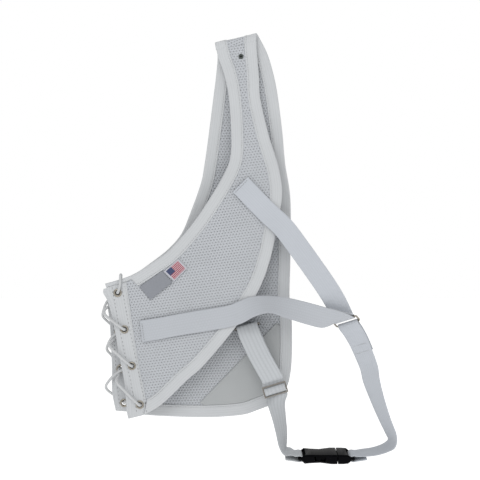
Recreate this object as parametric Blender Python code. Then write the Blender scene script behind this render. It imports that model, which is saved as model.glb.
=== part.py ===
"""One-shoulder chest guard of perforated sports cloth, laced at the side.

The guard hangs from a small eyelet below its shoulder fold. A front panel and a
larger back panel are edged with folded tape and laced together along the left
side. Webbing straps leave the front panel, meet at a wire ring and close with a
side-release buckle below.

Metres, +X to the right as seen from the front, +Y away from the viewer, +Z up.
The origin is on the axis of the hang eyelet, midway between the two layers.
"""

import math

import bmesh
import bpy
from mathutils import Matrix, Vector

# Overall sizes that the outline tables are shares of.
GUARD_WIDTH = 0.350
GUARD_HEIGHT = 0.512
STRAP_DEPTH = 0.022

# Cloth, tape and clearances.
CLOTH_THICKNESS = 0.0010
TAPE_THICKNESS = 0.0030
TAPE_WIDTH = 0.0145
TAPE_ROUNDING = 0.0006
END_BLEND = 0.040
HEM_WIDTH = 0.0050
GROOVE_DEPTH = 0.0062
CLOTH_TUCK = 0.0050
GAP = 0.0003
THROAT_GAP = 0.00045

# Shoulder fold and the spread between the two panels.
FOLD_RADIUS = 0.0030
FOLD_DROP = 0.0060
FOLD_LEFT = (-0.088, 0.032)
FOLD_RIGHT = (0.055, 0.054)
FRONT_SPREAD = 0.0110
BACK_SPREAD = 0.0080
SPREAD_START = 0.020
SPREAD_RUN = 0.200
SQUEEZE_START = 0.090
SQUEEZE_RUN = 0.060
SQUEEZE_SHARE = 0.40
CURL_START = 0.040
CURL_RUN = 0.022
EDGE_CURL = 0.0032

# Webbing and metal.
WEBBING_WIDTH = 0.0254
WEBBING_THICKNESS = 0.0012
WEBBING_LIFT = 0.0029
WIRE_RADIUS = 0.0010
WRAP_RADIUS = WIRE_RADIUS + 0.0009
EYELET_RADIUS = 0.0050
EYELET_BORE = 0.0029
EYELET_WALL = 0.0004
EYELET_FLANGE = 0.0006
EYELET_GAP = 0.0006
EYELET_SEGMENTS = 12
HANG_EYELET_RADIUS = 0.0027
HANG_EYELET_BORE = 0.0012
LACE_DIAMETER = 0.0032
LABEL_THICKNESS = 0.0006

# Edges of the front panel: across, down.
FRONT_ARM = (
    (-0.086, 0.030),
    (-0.078, -0.001),
    (-0.056, -0.045),
    (-0.041, -0.099),
    (-0.034, -0.171),
    (-0.035, -0.229),
    (-0.057, -0.273),
    (-0.115, -0.340),
    (-0.169, -0.393),
    (-0.238, -0.446),
    (-0.286, -0.471),
    (-0.368, -0.506),
    (-0.458, -0.526),
)
FRONT_SIDE = (
    (-0.463, -0.538),
    (-0.464, -0.548),
    (-0.447, -0.572),
    (-0.425, -0.635),
    (-0.415, -0.679),
    (-0.399, -0.732),
    (-0.389, -0.785),
    (-0.385, -0.820),
    (-0.380, -0.837),
)
FRONT_PLACKET = (
    (-0.386, -0.522),
    (-0.374, -0.577),
    (-0.363, -0.630),
    (-0.343, -0.715),
    (-0.323, -0.779),
    (-0.322, -0.805),
    (-0.328, -0.828),
)
FRONT_NECK = (
    (0.054, 0.052),
    (0.053, 0.024),
    (0.061, -0.045),
    (0.066, -0.099),
    (0.095, -0.185),
    (0.115, -0.229),
    (0.132, -0.273),
    (0.138, -0.326),
    (0.118, -0.407),
    (0.101, -0.462),
    (0.077, -0.513),
    (0.047, -0.556),
    (-0.020, -0.627),
    (-0.122, -0.711),
    (-0.182, -0.748),
    (-0.263, -0.801),
    (-0.325, -0.827),
)

# Edges of the back panel: across, down.
BACK_ARM = (
    (-0.089, 0.033),
    (-0.080, 0.004),
    (-0.085, -0.043),
    (-0.095, -0.098),
    (-0.111, -0.183),
    (-0.124, -0.245),
    (-0.138, -0.294),
    (-0.175, -0.364),
    (-0.204, -0.410),
    (-0.244, -0.443),
    (-0.292, -0.470),
    (-0.377, -0.510),
    (-0.460, -0.531),
)
BACK_SIDE = (
    (-0.460, -0.544),
    (-0.455, -0.587),
    (-0.448, -0.632),
    (-0.442, -0.721),
    (-0.441, -0.780),
    (-0.429, -0.824),
)
BACK_PLACKET = (
    (-0.397, -0.528),
    (-0.391, -0.587),
    (-0.386, -0.632),
    (-0.379, -0.721),
    (-0.378, -0.780),
    (-0.367, -0.828),
)
BACK_RIGHT = (
    (0.056, 0.054),
    (0.087, 0.013),
    (0.106, -0.027),
    (0.123, -0.080),
    (0.141, -0.173),
    (0.151, -0.245),
    (0.170, -0.332),
    (0.170, -0.465),
    (0.167, -0.557),
    (0.175, -0.613),
    (0.175, -0.702),
    (0.166, -0.754),
    (0.145, -0.788),
)
BACK_BOTTOM = (
    (0.117, -0.807),
    (0.058, -0.824),
    (-0.002, -0.836),
    (-0.125, -0.841),
    (-0.278, -0.838),
    (-0.3625, -0.833),
)

# Lacing eyelets, from the top down: across, down.
FRONT_EYELETS = (
    (-0.415, -0.547),
    (-0.392, -0.631),
    (-0.367, -0.715),
    (-0.340, -0.804),
)
BACK_EYELETS = (
    (-0.424, -0.557),
    (-0.419, -0.641),
    (-0.412, -0.726),
    (-0.400, -0.806),
)

# Corners of the labels, along the top edge and then the bottom edge.
SIDE_LABEL = ((-0.342, -0.533), (-0.265, -0.496), (-0.304, -0.563), (-0.230, -0.522))
FLAG_LABEL = ((-0.260, -0.498), (-0.211, -0.468), (-0.225, -0.521), (-0.180, -0.490))
PATCH_TOP_LEFT = (-0.130, -0.625)
PATCH_STEP = (-0.004, 0.003)

# Straps: across, down, toward the viewer, turn and lean of the width in degrees, and the
# share of the strap that is free of the cloth.
UPPER_STRAP = (
    (-0.002, -0.298, 0.55, 45, 0, 0.0),
    (0.040, -0.328, 0.59, 46, 0, 0.0),
    (0.087, -0.361, 0.75, 46, 0, 0.6),
    (0.142, -0.397, 0.92, 42, 0, 1.0),
    (0.194, -0.444, 0.98, 36, 0, 1.0),
    (0.242, -0.490, 1.00, 33, 0, 1.0),
    (0.282, -0.529, 0.92, 33, 0, 1.0),
    (0.313, -0.563, 0.80, 30, 8, 1.0),
    (0.335, -0.590, 0.70, 24, 20, 1.0),
)
WAIST_STRAP = (
    (-0.335, -0.635, 0.55, 97, 0, 0.0),
    (-0.266, -0.627, 0.64, 98, 0, 0.0),
    (-0.195, -0.618, 0.68, 98, 0, 0.0),
    (-0.107, -0.608, 0.73, 98, 0, 0.0),
    (-0.040, -0.600, 0.77, 100, 0, 0.0),
    (-0.003, -0.591, 0.96, 106, -8, 0.6),
    (0.040, -0.577, 1.06, 106, -28, 1.0),
    (0.097, -0.572, 1.10, 92, -42, 1.0),
    (0.165, -0.582, 1.12, 78, -22, 1.0),
    (0.229, -0.594, 1.14, 74, -5, 1.0),
    (0.280, -0.603, 1.18, 66, 8, 1.0),
    (0.318, -0.606, 1.26, 42, 18, 1.0),
)
RIGHT_STRAP = (
    (0.377, -0.638, 0.82, 26, 28, 1.0),
    (0.393, -0.658, 0.82, 25, 32, 1.0),
    (0.409, -0.683, 0.82, 22, 35, 1.0),
    (0.429, -0.719, 0.77, 16, 40, 1.0),
    (0.437, -0.748, 0.77, 15, 45, 1.0),
    (0.455, -0.787, 0.73, 19, 54, 1.0),
    (0.480, -0.833, 0.68, 21, 62, 1.0),
    (0.504, -0.872, 0.64, 8, 67, 1.0),
    (0.506, -0.892, 0.64, -45, 74, 1.0),
    (0.484, -0.903, 0.64, -60, 78, 1.0),
    (0.447, -0.911, 0.64, -72, 80, 1.0),
    (0.410, -0.914, 0.64, -84, 82, 1.0),
)
LEFT_STRAP = (
    (0.168, -0.911, 0.64, 94, -82, 1.0),
    (0.149, -0.910, 0.61, 50, -76, 1.0),
    (0.141, -0.894, 0.59, 10, -66, 1.0),
    (0.137, -0.869, 0.55, 8, -58, 1.0),
    (0.129, -0.836, 0.45, 10, -50, 1.0),
    (0.121, -0.806, 0.38, 12, -36, 1.0),
)
FRONT_LOOP = (
    (0.103, -0.742, 0.42, 18, 0, 1.0),
    (0.062, -0.692, 0.46, 18, 0, 1.0),
    (0.032, -0.648, 0.44, 15, 0, 1.0),
)
REAR_LOOP = (
    (0.036, -0.650, 0.19, 15, 0, 1.0),
    (0.064, -0.694, 0.20, 18, 0, 1.0),
    (0.104, -0.745, 0.22, 18, 0, 1.0),
)

# Wire ring where the straps meet.
RING_CENTRE = (0.352, -0.611, 0.98)
RING_LONG = (0.85, -0.42, 0.31)
RING_SHORT = (0.54, 0.62, -0.57)
RING_HALF_LENGTH = 0.0148
RING_HALF_HEIGHT = 0.0050
RING_CORNER = 0.0022

# Wire ring that the adjusting loop hangs on, and its tab on the back panel.
ANCHOR_CENTRE = (0.021, -0.627, 0.02)
ANCHOR_LONG = (0.966, 0.0, 0.259)
ANCHOR_SHORT = (0.07, 0.966, -0.26)
ANCHOR_HALF_HEIGHT = 0.0048
TAB_LENGTH = 0.016
TAB_LIFT = 0.0016

# Flat slide on the adjusting loop.
SLIDE_CENTRE = (0.115, -0.771, 0.36)
SLIDE_TURN = math.radians(17.0)
SLIDE_WIDTH = 0.0290
SLIDE_PITCH = 0.0060
SLIDE_BAR = 0.0016

# Buckle: along, half width and half thickness of its sections, as shares.
BUCKLE_CENTRE = (0.284, -0.921, 0.64)
BUCKLE_ROLL = math.radians(5.0)
BUCKLE_LENGTH = 0.0655
BUCKLE_HALF_WIDTH = 0.0165
BUCKLE_HALF_THICKNESS = 0.0055
SOCKET_SECTIONS = (
    (-0.500, 0.86, 0.32),
    (-0.445, 0.90, 0.40),
    (-0.385, 0.94, 0.96),
    (-0.260, 0.86, 0.90),
    (-0.110, 0.84, 0.84),
    (0.020, 0.94, 0.94),
    (0.090, 1.00, 1.00),
    (0.190, 1.00, 1.00),
)
PLUG_SECTIONS = (
    (0.205, 1.00, 1.00),
    (0.290, 1.00, 1.00),
    (0.385, 0.95, 0.94),
    (0.445, 0.90, 0.40),
    (0.500, 0.86, 0.32),
)
BAR_SHARE = 0.474
BAR_HALF = 0.0017
SLOT_LENGTH = 0.0052
SLOT_HALF_WIDTH = 0.0134
SOCKET_CAVITY = (-0.300, 0.78, 0.58)
SOCKET_WINDOW = (-0.215, -0.015, 0.52)
PRONG_REACH = -0.205
PRONG_WIDTH = 0.0042
PRONG_HALF_THICKNESS = 0.0026
PRONG_OUTER = 0.0122
TAIL_LENGTH = 0.0165

# Webbing folded back on itself, and the straight lead beside a wrap.
FOLDED_LIFT = 0.0026
WRAP_LEAD = 0.0030

# Points along a sampled curve.
EDGE_POINTS = 29
PLACKET_POINTS = 12
FRONT_COLUMNS = (0.0, 0.2, 0.4, 0.6, 0.8, 1.0)
BACK_COLUMNS = (0.0, 0.2, 0.4, 0.6, 0.78, 0.87, 0.94, 1.0)
LABEL_COLUMNS = (0.0, 0.25, 0.5, 0.75, 1.0)
FRONT_END = -0.786
LACE_SIDE = 0.0037
LACE_REACH = 0.0022


def smooth(value):
    """Return the eased share for a value held between 0 and 1."""
    value = min(1.0, max(0.0, value))
    return value * value * (3.0 - 2.0 * value)


def flat(row):
    """Return the place in the picture plane of a row of shares."""
    return Vector((row[0] * GUARD_WIDTH, row[1] * GUARD_HEIGHT))


def place_of(row):
    """Return the place in space of a row of shares with its depth."""
    return Vector((row[0] * GUARD_WIDTH, -row[2] * STRAP_DEPTH, row[1] * GUARD_HEIGHT))


def catmull(before, start, end, after, share):
    """Return the point at a share of the smooth curve from start to end."""
    square = share * share
    cube = square * share
    return 0.5 * (
        2.0 * start
        + (end - before) * share
        + (2.0 * before - 5.0 * start + 4.0 * end - after) * square
        + (3.0 * start - before - 3.0 * end + after) * cube
    )


def smooth_path(points, steps):
    """Return a smooth path through the points, with steps on each stretch."""
    path = []
    last = len(points) - 1
    for index in range(last):
        before = points[max(index - 1, 0)]
        after = points[min(index + 2, last)]
        for step in range(steps):
            path.append(catmull(before, points[index], points[index + 1], after, step / steps))
    path.append(points[last].copy())
    return path


def lengths(path):
    """Return the distance along the path at each of its points."""
    along = [0.0]
    for index in range(1, len(path)):
        along.append(along[-1] + (path[index] - path[index - 1]).length)
    return along


def at_length(path, along, distance):
    """Return the point of a path at a distance along it."""
    for index in range(1, len(path)):
        if along[index] >= distance or index == len(path) - 1:
            step = along[index] - along[index - 1]
            share = (distance - along[index - 1]) / step if step else 0.0
            return path[index - 1].lerp(path[index], min(1.0, max(0.0, share)))
    return path[-1].copy()


def evenly(path, count):
    """Return count points spread evenly along the path."""
    along = lengths(path)
    return [at_length(path, along, along[-1] * index / (count - 1)) for index in range(count)]


def dense_first(path, dense, dense_count, count):
    """Return points that are close together along the first stretch of a path."""
    along = lengths(path)
    rest = along[-1] - dense
    first = [dense * index / dense_count for index in range(dense_count)]
    later = [dense + rest * index / (count - 1) for index in range(count)]
    return [at_length(path, along, distance) for distance in first + later]


def inward(path, side):
    """Return the unit vector to one side of the path at each point."""
    vectors = []
    last = len(path) - 1
    for index in range(last + 1):
        run = path[min(index + 1, last)] - path[max(index - 1, 0)]
        vectors.append(Vector((-run.y, run.x)).normalized() * side)
    return vectors


def offset(path, side, distance):
    """Return the path moved to one side."""
    return [point + way * distance for point, way in zip(path, inward(path, side))]


FOLD_START = flat(FOLD_LEFT)
FOLD_ALONG = (flat(FOLD_RIGHT) - FOLD_START).normalized()
FOLD_UP = Vector((-FOLD_ALONG.y, FOLD_ALONG.x))
FOLD_END = FOLD_RADIUS * (math.pi - 1.0) + FOLD_DROP
FOLD_LENGTH = FOLD_END + 2.0 * FOLD_RADIUS
FOLD_STEPS = 10


def above_fold(point):
    """Return how far a flat point lies above the fold line."""
    return (point - FOLD_START).dot(FOLD_UP)


def spread(point):
    """Return how far the panels have parted at a flat point, from 0 to 1."""
    parted = smooth((-point.y - SPREAD_START) / SPREAD_RUN)
    squeeze = smooth((-point.x - SQUEEZE_START) / SQUEEZE_RUN)
    return parted * (1.0 - SQUEEZE_SHARE * squeeze)


def on_front(point, lift):
    """Return the place of a flat point of the front panel, lifted toward the viewer."""
    depth = -FOLD_RADIUS - FRONT_SPREAD * spread(point)
    return Vector((point.x, depth - lift, point.y))


def on_back(point, lift):
    """Return the place of a flat point of the back panel, rolled over the fold."""
    height = above_fold(point)
    if height <= -FOLD_RADIUS:
        curl = smooth((point.x - CURL_START) / CURL_RUN) * EDGE_CURL
        parted = spread(point)
        depth = FOLD_RADIUS + (BACK_SPREAD + curl) * parted
        return Vector((point.x, depth - lift, point.y))
    along = (point - FOLD_START).dot(FOLD_ALONG)
    base = FOLD_START + FOLD_ALONG * along
    radius = FOLD_RADIUS - lift
    angle = (height + FOLD_RADIUS) / FOLD_RADIUS
    drop = max(0.0, height + FOLD_RADIUS - math.pi * FOLD_RADIUS)
    angle = min(angle, math.pi)
    rise = -FOLD_RADIUS + radius * math.sin(angle) - drop
    spot = base + FOLD_UP * rise
    return Vector((spot.x, radius * math.cos(angle), spot.y))


def front_edge(rows):
    """Return a front edge from just below the fold."""
    path = smooth_path([flat(row) for row in rows], 8)
    limit = -FOLD_RADIUS - FOLD_DROP - GAP
    kept = [point for point in path if above_fold(point) < limit]
    first = len(path) - len(kept)
    if first:
        high = above_fold(path[first - 1])
        low = above_fold(path[first])
        share = (high - limit) / (high - low)
        kept.insert(0, path[first - 1].lerp(path[first], share))
    return kept


def back_edge(rows, lean):
    """Return a back edge that starts on the far side of the fold."""
    points = [flat(row) for row in rows]
    over = FOLD_UP + FOLD_ALONG * lean
    crest = points[0] - FOLD_UP * above_fold(points[0])
    ahead = [crest + over * FOLD_END * share for share in (1.0, 0.5)]
    return smooth_path(ahead + points, 8)


def new_object(name, mesh, finish):
    """Add an object with its own material and smooth round faces."""
    thing = bpy.data.objects.new(name, mesh)
    bpy.context.scene.collection.objects.link(thing)
    colour, roughness, metallic = finish
    material = bpy.data.materials.new(name + "_finish")
    material.use_nodes = True
    shader = material.node_tree.nodes["Principled BSDF"]
    shader.inputs["Base Color"].default_value = (*colour, 1.0)
    shader.inputs["Roughness"].default_value = roughness
    shader.inputs["Metallic"].default_value = metallic
    thing.data.materials.append(material)
    return thing


def mesh_from(name, bm, finish):
    """Turn a bmesh into an object with its faces pointing out."""
    bmesh.ops.recalc_face_normals(bm, faces=bm.faces)
    mesh = bpy.data.meshes.new(name)
    bm.to_mesh(mesh)
    bm.free()
    mesh.shade_smooth()
    mesh.set_sharp_from_angle(angle=math.radians(30.0))
    return new_object(name, mesh, finish)


WHITE_CLOTH = ((0.60, 0.62, 0.64), 0.85, 0.0)
WHITE_TAPE = ((0.62, 0.64, 0.66), 0.75, 0.0)
WEBBING = ((0.60, 0.63, 0.67), 0.70, 0.0)
GREY_SATIN = ((0.27, 0.28, 0.31), 0.45, 0.0)
STRIPED = ((0.60, 0.30, 0.34), 0.60, 0.0)
SILVER = ((0.70, 0.68, 0.64), 0.25, 1.0)
DARK_METAL = ((0.12, 0.12, 0.10), 0.35, 1.0)
BLACK_PLASTIC = ((0.010, 0.010, 0.012), 0.35, 0.0)


def slab(name, lows, highs, finish):
    """Build a closed sheet between two grids of points."""
    bm = bmesh.new()
    rows = len(lows)
    columns = len(lows[0])
    low = [[bm.verts.new(point) for point in row] for row in lows]
    high = [[bm.verts.new(point) for point in row] for row in highs]
    for row in range(rows - 1):
        for column in range(columns - 1):
            for grid in (low, high):
                bm.faces.new(
                    (
                        grid[row][column],
                        grid[row][column + 1],
                        grid[row + 1][column + 1],
                        grid[row + 1][column],
                    )
                )
    for row in range(rows - 1):
        for column in (0, columns - 1):
            bm.faces.new(
                (low[row][column], low[row + 1][column], high[row + 1][column], high[row][column])
            )
    for column in range(columns - 1):
        for row in (0, rows - 1):
            bm.faces.new(
                (low[row][column], low[row][column + 1], high[row][column + 1], high[row][column])
            )
    return mesh_from(name, bm, finish)


def ruled_grid(left, right, columns):
    """Return a grid of flat points at column shares from a left to a right edge."""
    return [[start.lerp(end, share) for share in columns] for start, end in zip(left, right)]


def sheet_on(name, put, grid, low, high, finish):
    """Lay a sheet on a panel between two lifts."""
    lows = [[put(point, low) for point in row] for row in grid]
    highs = [[put(point, high) for point in row] for row in grid]
    return slab(name, lows, highs, finish)


def tape_on(name, put, outer, inner, finish):
    """Fold a tape around the edge between two paths, open toward the inner one."""
    half = TAPE_THICKNESS / 2.0
    throat = CLOTH_THICKNESS / 2.0 + THROAT_GAP
    bm = bmesh.new()
    rings = []
    for edge, lip in zip(outer, inner):
        way = lip - edge
        width = way.length
        way = way / width
        floor = width - min(GROOVE_DEPTH, width / 2.0)
        section = (
            (0.0, 0.0),
            (TAPE_ROUNDING, half),
            (width, half),
            (width, throat),
            (floor, throat),
            (floor, -throat),
            (width, -throat),
            (width, -half),
            (TAPE_ROUNDING, -half),
        )
        rings.append([bm.verts.new(put(edge + way * run, lift)) for run, lift in section])
    for first, second in zip(rings, rings[1:]):
        count = len(first)
        for index in range(count):
            after = (index + 1) % count
            bm.faces.new((first[index], first[after], second[after], second[index]))
    bm.faces.new(rings[0])
    bm.faces.new(rings[-1])
    return mesh_from(name, bm, finish)


def lip_of(path, side, start_way=None, end_way=None, widths=None):
    """Return the inner edge of a tape whose ends are cut along given ways."""
    along = lengths(path)
    lip = []
    for index, (point, normal) in enumerate(zip(path, inward(path, side))):
        way = normal
        after = along[index] / END_BLEND
        before = (along[-1] - along[index]) / END_BLEND
        if start_way is not None and after < 1.0:
            way = start_way.lerp(normal, after).normalized()
        if end_way is not None and before < 1.0:
            way = end_way.lerp(normal, before).normalized()
        width = widths[index] if widths else TAPE_WIDTH
        lip.append(point + way * (width / way.dot(normal)))
    return lip


def armhole_tape(name, put, edge, side, cut, stop_across, finish):
    """Bind an armhole edge, with a narrow hem over the placket."""
    along = lengths(edge)
    total = along[-1]
    crossing = next(
        distance for distance, point in zip(along, edge) if point.x < stop_across
    )
    reach = crossing - HEM_WIDTH / 3.0
    cover = [at_length(edge, along, reach * index / 200) for index in range(201)]
    rolled = FOLD_LENGTH if above_fold(edge[0]) > 0.0 else 0.0
    steps = FOLD_STEPS if rolled else 0
    wide = dense_first(cover, rolled, steps, EDGE_POINTS)
    hem = [
        at_length(edge, along, crossing + (total - crossing) * index / 4) for index in range(5)
    ]
    path = wide + hem
    widths = [TAPE_WIDTH] * len(wide) + [HEM_WIDTH] * len(hem)
    lip = lip_of(path, side, start_way=cut, widths=widths)
    return tape_on(name, put, path, lip, finish)


def panel_left(edge, side, placket):
    """Return the left edge of a panel, tucked into its tape and its placket."""
    tuck = TAPE_WIDTH - CLOTH_TUCK
    arm = lip_of(edge, side, start_way=FOLD_ALONG, widths=[tuck] * len(edge))
    inner = [point - Vector((CLOTH_TUCK, 0.0)) for point in placket]
    upper = [point for point in arm if point.x > inner[0].x]
    lower = [point for point in inner if point.y < upper[-1].y]
    return upper + lower


def cut_hole(thing, name, centre, radius, way):
    """Cut a round hole through an object along a way."""
    bm = bmesh.new()
    bmesh.ops.create_cone(
        bm,
        cap_ends=True,
        segments=EYELET_SEGMENTS,
        radius1=radius,
        radius2=radius,
        depth=TAPE_THICKNESS * 4.0,
    )
    turn = Vector((0.0, 0.0, 1.0)).rotation_difference(way).to_matrix().to_4x4()
    bmesh.ops.transform(bm, matrix=Matrix.Translation(centre) @ turn, verts=bm.verts)
    hide_cutter(thing, mesh_from(name, bm, DARK_METAL))


def hide_cutter(thing, cutter):
    """Subtract a cutter from an object and leave the cutter out of the model."""
    cutter.hide_render = True
    cutter.display_type = "WIRE"
    modifier = thing.modifiers.new(cutter.name, "BOOLEAN")
    modifier.operation = "DIFFERENCE"
    modifier.solver = "EXACT"
    modifier.object = cutter


def facing(put, point):
    """Return the way straight out of a panel toward the viewer."""
    step = 0.002
    across = put(point + Vector((step, 0.0)), 0.0) - put(point - Vector((step, 0.0)), 0.0)
    up = put(point + Vector((0.0, step)), 0.0) - put(point - Vector((0.0, step)), 0.0)
    return across.cross(up).normalized()


def eyelet(name, centre, way, sizes, finish):
    """Turn an eyelet with a flange on each face of the cloth it grips."""
    radius, bore, half, flange = sizes
    wall = bore + EYELET_WALL
    near = half + EYELET_GAP
    far = near + flange
    profile = (
        (bore, far),
        (radius - flange, far),
        (radius, near),
        (wall, near),
        (wall, -near),
        (radius, -near),
        (radius - flange, -far),
        (bore, -far),
    )
    bm = bmesh.new()
    ring = [bm.verts.new((run, 0.0, rise)) for run, rise in profile]
    edges = [bm.edges.new((ring[index - 1], ring[index])) for index in range(len(ring))]
    bmesh.ops.spin(
        bm,
        geom=ring + edges,
        cent=(0.0, 0.0, 0.0),
        axis=(0.0, 0.0, 1.0),
        angle=math.tau,
        steps=EYELET_SEGMENTS,
        use_merge=True,
    )
    bmesh.ops.remove_doubles(bm, verts=bm.verts, dist=0.00002)
    turn = Vector((0.0, 0.0, 1.0)).rotation_difference(way).to_matrix().to_4x4()
    bmesh.ops.transform(bm, matrix=Matrix.Translation(centre) @ turn, verts=bm.verts)
    return mesh_from(name, bm, finish)


def strap_rows(table):
    """Return centre, width vector and free share for each row of a strap table."""
    rows = []
    for row in table:
        turn = math.radians(row[3])
        lean = math.radians(row[4])
        width = Vector(
            (
                math.cos(lean) * math.cos(turn),
                -math.sin(lean),
                math.cos(lean) * math.sin(turn),
            )
        )
        rows.append((place_of(row), width, Vector((row[5], 0.0, 0.0))))
    return rows


def behind(rows, index, distance):
    """Return a strap row laid a distance behind another, away from the viewer."""
    centre, width, free = rows[index]
    last = len(rows) - 1
    run = rows[min(index + 1, last)][0] - rows[max(index - 1, 0)][0]
    normal = run.cross(width).normalized()
    normal = normal if normal.y > 0.0 else -normal
    return centre + normal * distance, width, free


def wrap_rows(centre, width, first, second, radius, angles):
    """Return rows around a bar, at angles from the first way toward the second."""
    rows = []
    for degrees in angles:
        angle = math.radians(degrees)
        spot = centre + first * (radius * math.cos(angle)) + second * (radius * math.sin(angle))
        rows.append((spot, width, Vector((1.0, 0.0, 0.0))))
    return rows


def turn_at_bar(bar, long_way, row):
    """Return rows that pass over a bar from the front of a strap to behind it."""
    way = bar - row[0]
    way = (way - long_way * way.dot(long_way)).normalized()
    front = long_way.cross(way)
    front = front if front.y < 0.0 else -front
    free = Vector((1.0, 0.0, 0.0))
    lead = way * WRAP_LEAD
    first = [(bar + front * WRAP_RADIUS - lead, long_way, free)]
    around = wrap_rows(bar, long_way, front, way, WRAP_RADIUS, (0, 45, 90, 135, 180))
    return first + around + [(bar - front * WRAP_RADIUS - lead, long_way, free)]


def ribbon(name, rows, steps, across, finish):
    """Build webbing along rows of centre, width vector and free share."""
    centres = smooth_path([row[0] for row in rows], steps)
    widths = smooth_path([row[1] for row in rows], steps)
    frees = smooth_path([row[2] for row in rows], steps)
    last = len(centres) - 1
    lows = []
    highs = []
    for index in range(last + 1):
        run = centres[min(index + 1, last)] - centres[max(index - 1, 0)]
        width = widths[index].normalized()
        normal = run.cross(width).normalized()
        free = min(1.0, max(0.0, frees[index].x))
        low = []
        high = []
        for step in range(across + 1):
            side = (step / across - 0.5) * WEBBING_WIDTH
            spot = centres[index] + width * side
            laid = on_front(Vector((spot.x, spot.z)), WEBBING_LIFT)
            spot = laid.lerp(spot, free)
            low.append(spot - normal * WEBBING_THICKNESS / 2.0)
            high.append(spot + normal * WEBBING_THICKNESS / 2.0)
        lows.append(low)
        highs.append(high)
    return slab(name, lows, highs, finish)


def wire_ring(name, centre, long_way, short_way, half_length, half_height, finish):
    """Bend a wire into a rectangular ring with round corners."""
    points = []
    reach = half_length - RING_CORNER
    rise = half_height - RING_CORNER
    for corner, (along, up) in enumerate(((1, 1), (-1, 1), (-1, -1), (1, -1))):
        for step in range(3):
            angle = math.radians(90.0 * corner + 45.0 * step)
            across = along * reach + RING_CORNER * math.cos(angle)
            over = up * rise + RING_CORNER * math.sin(angle)
            points.append(centre + long_way * across + short_way * over)
    curve = bpy.data.curves.new(name, "CURVE")
    curve.dimensions = "3D"
    curve.bevel_depth = WIRE_RADIUS
    curve.bevel_resolution = 2
    spline = curve.splines.new("POLY")
    spline.points.add(len(points) - 1)
    for knot, point in zip(spline.points, points):
        knot.co = (*point, 1.0)
    spline.use_cyclic_u = True
    return new_object(name, curve, finish)


def box(name, centre, frame, halves, finish):
    """Build a box with the given half sizes in a frame."""
    bm = bmesh.new()
    bmesh.ops.create_cube(bm, size=2.0)
    scale = Matrix.Diagonal((*halves, 1.0))
    bmesh.ops.transform(bm, matrix=Matrix.Translation(centre) @ frame @ scale, verts=bm.verts)
    return mesh_from(name, bm, finish)


def frame_of(first, second, third):
    """Return the rotation whose columns are three ways."""
    return Matrix((first, second, third)).transposed().to_4x4()


def loft(name, centre, frame, sections, finish):
    """Build a body from rounded box sections along its first axis."""
    corner = 0.30
    bm = bmesh.new()
    rings = []
    for along, wide, thick in sections:
        half = wide * BUCKLE_HALF_WIDTH
        rise = thick * BUCKLE_HALF_THICKNESS
        cut = corner * BUCKLE_HALF_THICKNESS
        outline = (
            (half, rise - cut),
            (half - cut, rise),
            (cut - half, rise),
            (-half, rise - cut),
            (-half, cut - rise),
            (cut - half, -rise),
            (half - cut, -rise),
            (half, cut - rise),
        )
        ring = []
        for across, up in outline:
            spot = Vector((along * BUCKLE_LENGTH, across, up))
            ring.append(bm.verts.new(centre + frame.to_3x3() @ spot))
        rings.append(ring)
    for first, second in zip(rings, rings[1:]):
        count = len(first)
        for index in range(count):
            after = (index + 1) % count
            bm.faces.new((first[index], first[after], second[after], second[index]))
    bm.faces.new(rings[0])
    bm.faces.new(rings[-1])
    return mesh_from(name, bm, finish)


def extrude_outline(name, centre, frame, outline, half, finish):
    """Build a flat body of an outline, extruded both ways along the third axis."""
    bm = bmesh.new()
    verts = [bm.verts.new((along, across, -half)) for along, across in outline]
    face = bm.faces.new(verts)
    grown = bmesh.ops.extrude_face_region(bm, geom=[face])
    raised = [item for item in grown["geom"] if isinstance(item, bmesh.types.BMVert)]
    bmesh.ops.translate(bm, vec=(0.0, 0.0, 2.0 * half), verts=raised)
    bmesh.ops.transform(bm, matrix=Matrix.Translation(centre) @ frame, verts=bm.verts)
    return mesh_from(name, bm, finish)


def build_front():
    """Build the front panel, its bindings and its placket."""
    arm = front_edge(FRONT_ARM)
    neck = front_edge(FRONT_NECK)
    side = smooth_path([flat(row) for row in FRONT_SIDE], 6)
    placket = smooth_path([flat(row) for row in FRONT_PLACKET], 6)
    stop = placket[0].x + HEM_WIDTH
    armhole_tape("front_armhole_binding", on_front, arm, 1, FOLD_ALONG, stop, WHITE_TAPE)
    path = evenly(neck, EDGE_POINTS + 9)
    end_way = (placket[-8] - placket[-1]).normalized()
    lip = lip_of(path, -1, start_way=-FOLD_ALONG, end_way=end_way)
    tape_on("front_neck_binding", on_front, path, lip, WHITE_TAPE)
    outer = evenly(side, PLACKET_POINTS)
    inner = evenly(placket, PLACKET_POINTS)
    band = tape_on("front_placket", on_front, outer, inner, WHITE_TAPE)
    left = panel_left(arm, 1, placket)
    left = [point for point in left if point.y > FRONT_END * GUARD_HEIGHT]
    tuck = TAPE_WIDTH - CLOTH_TUCK
    right = lip_of(neck, -1, start_way=-FOLD_ALONG, widths=[tuck] * len(neck))
    right = [point for point in right if point.y > FRONT_END * GUARD_HEIGHT]
    half = CLOTH_THICKNESS / 2.0
    grid = ruled_grid(evenly(left, EDGE_POINTS), evenly(right, EDGE_POINTS), FRONT_COLUMNS)
    panel = sheet_on("front_mesh", on_front, grid, -half, half, WHITE_CLOTH)
    return panel, band


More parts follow.
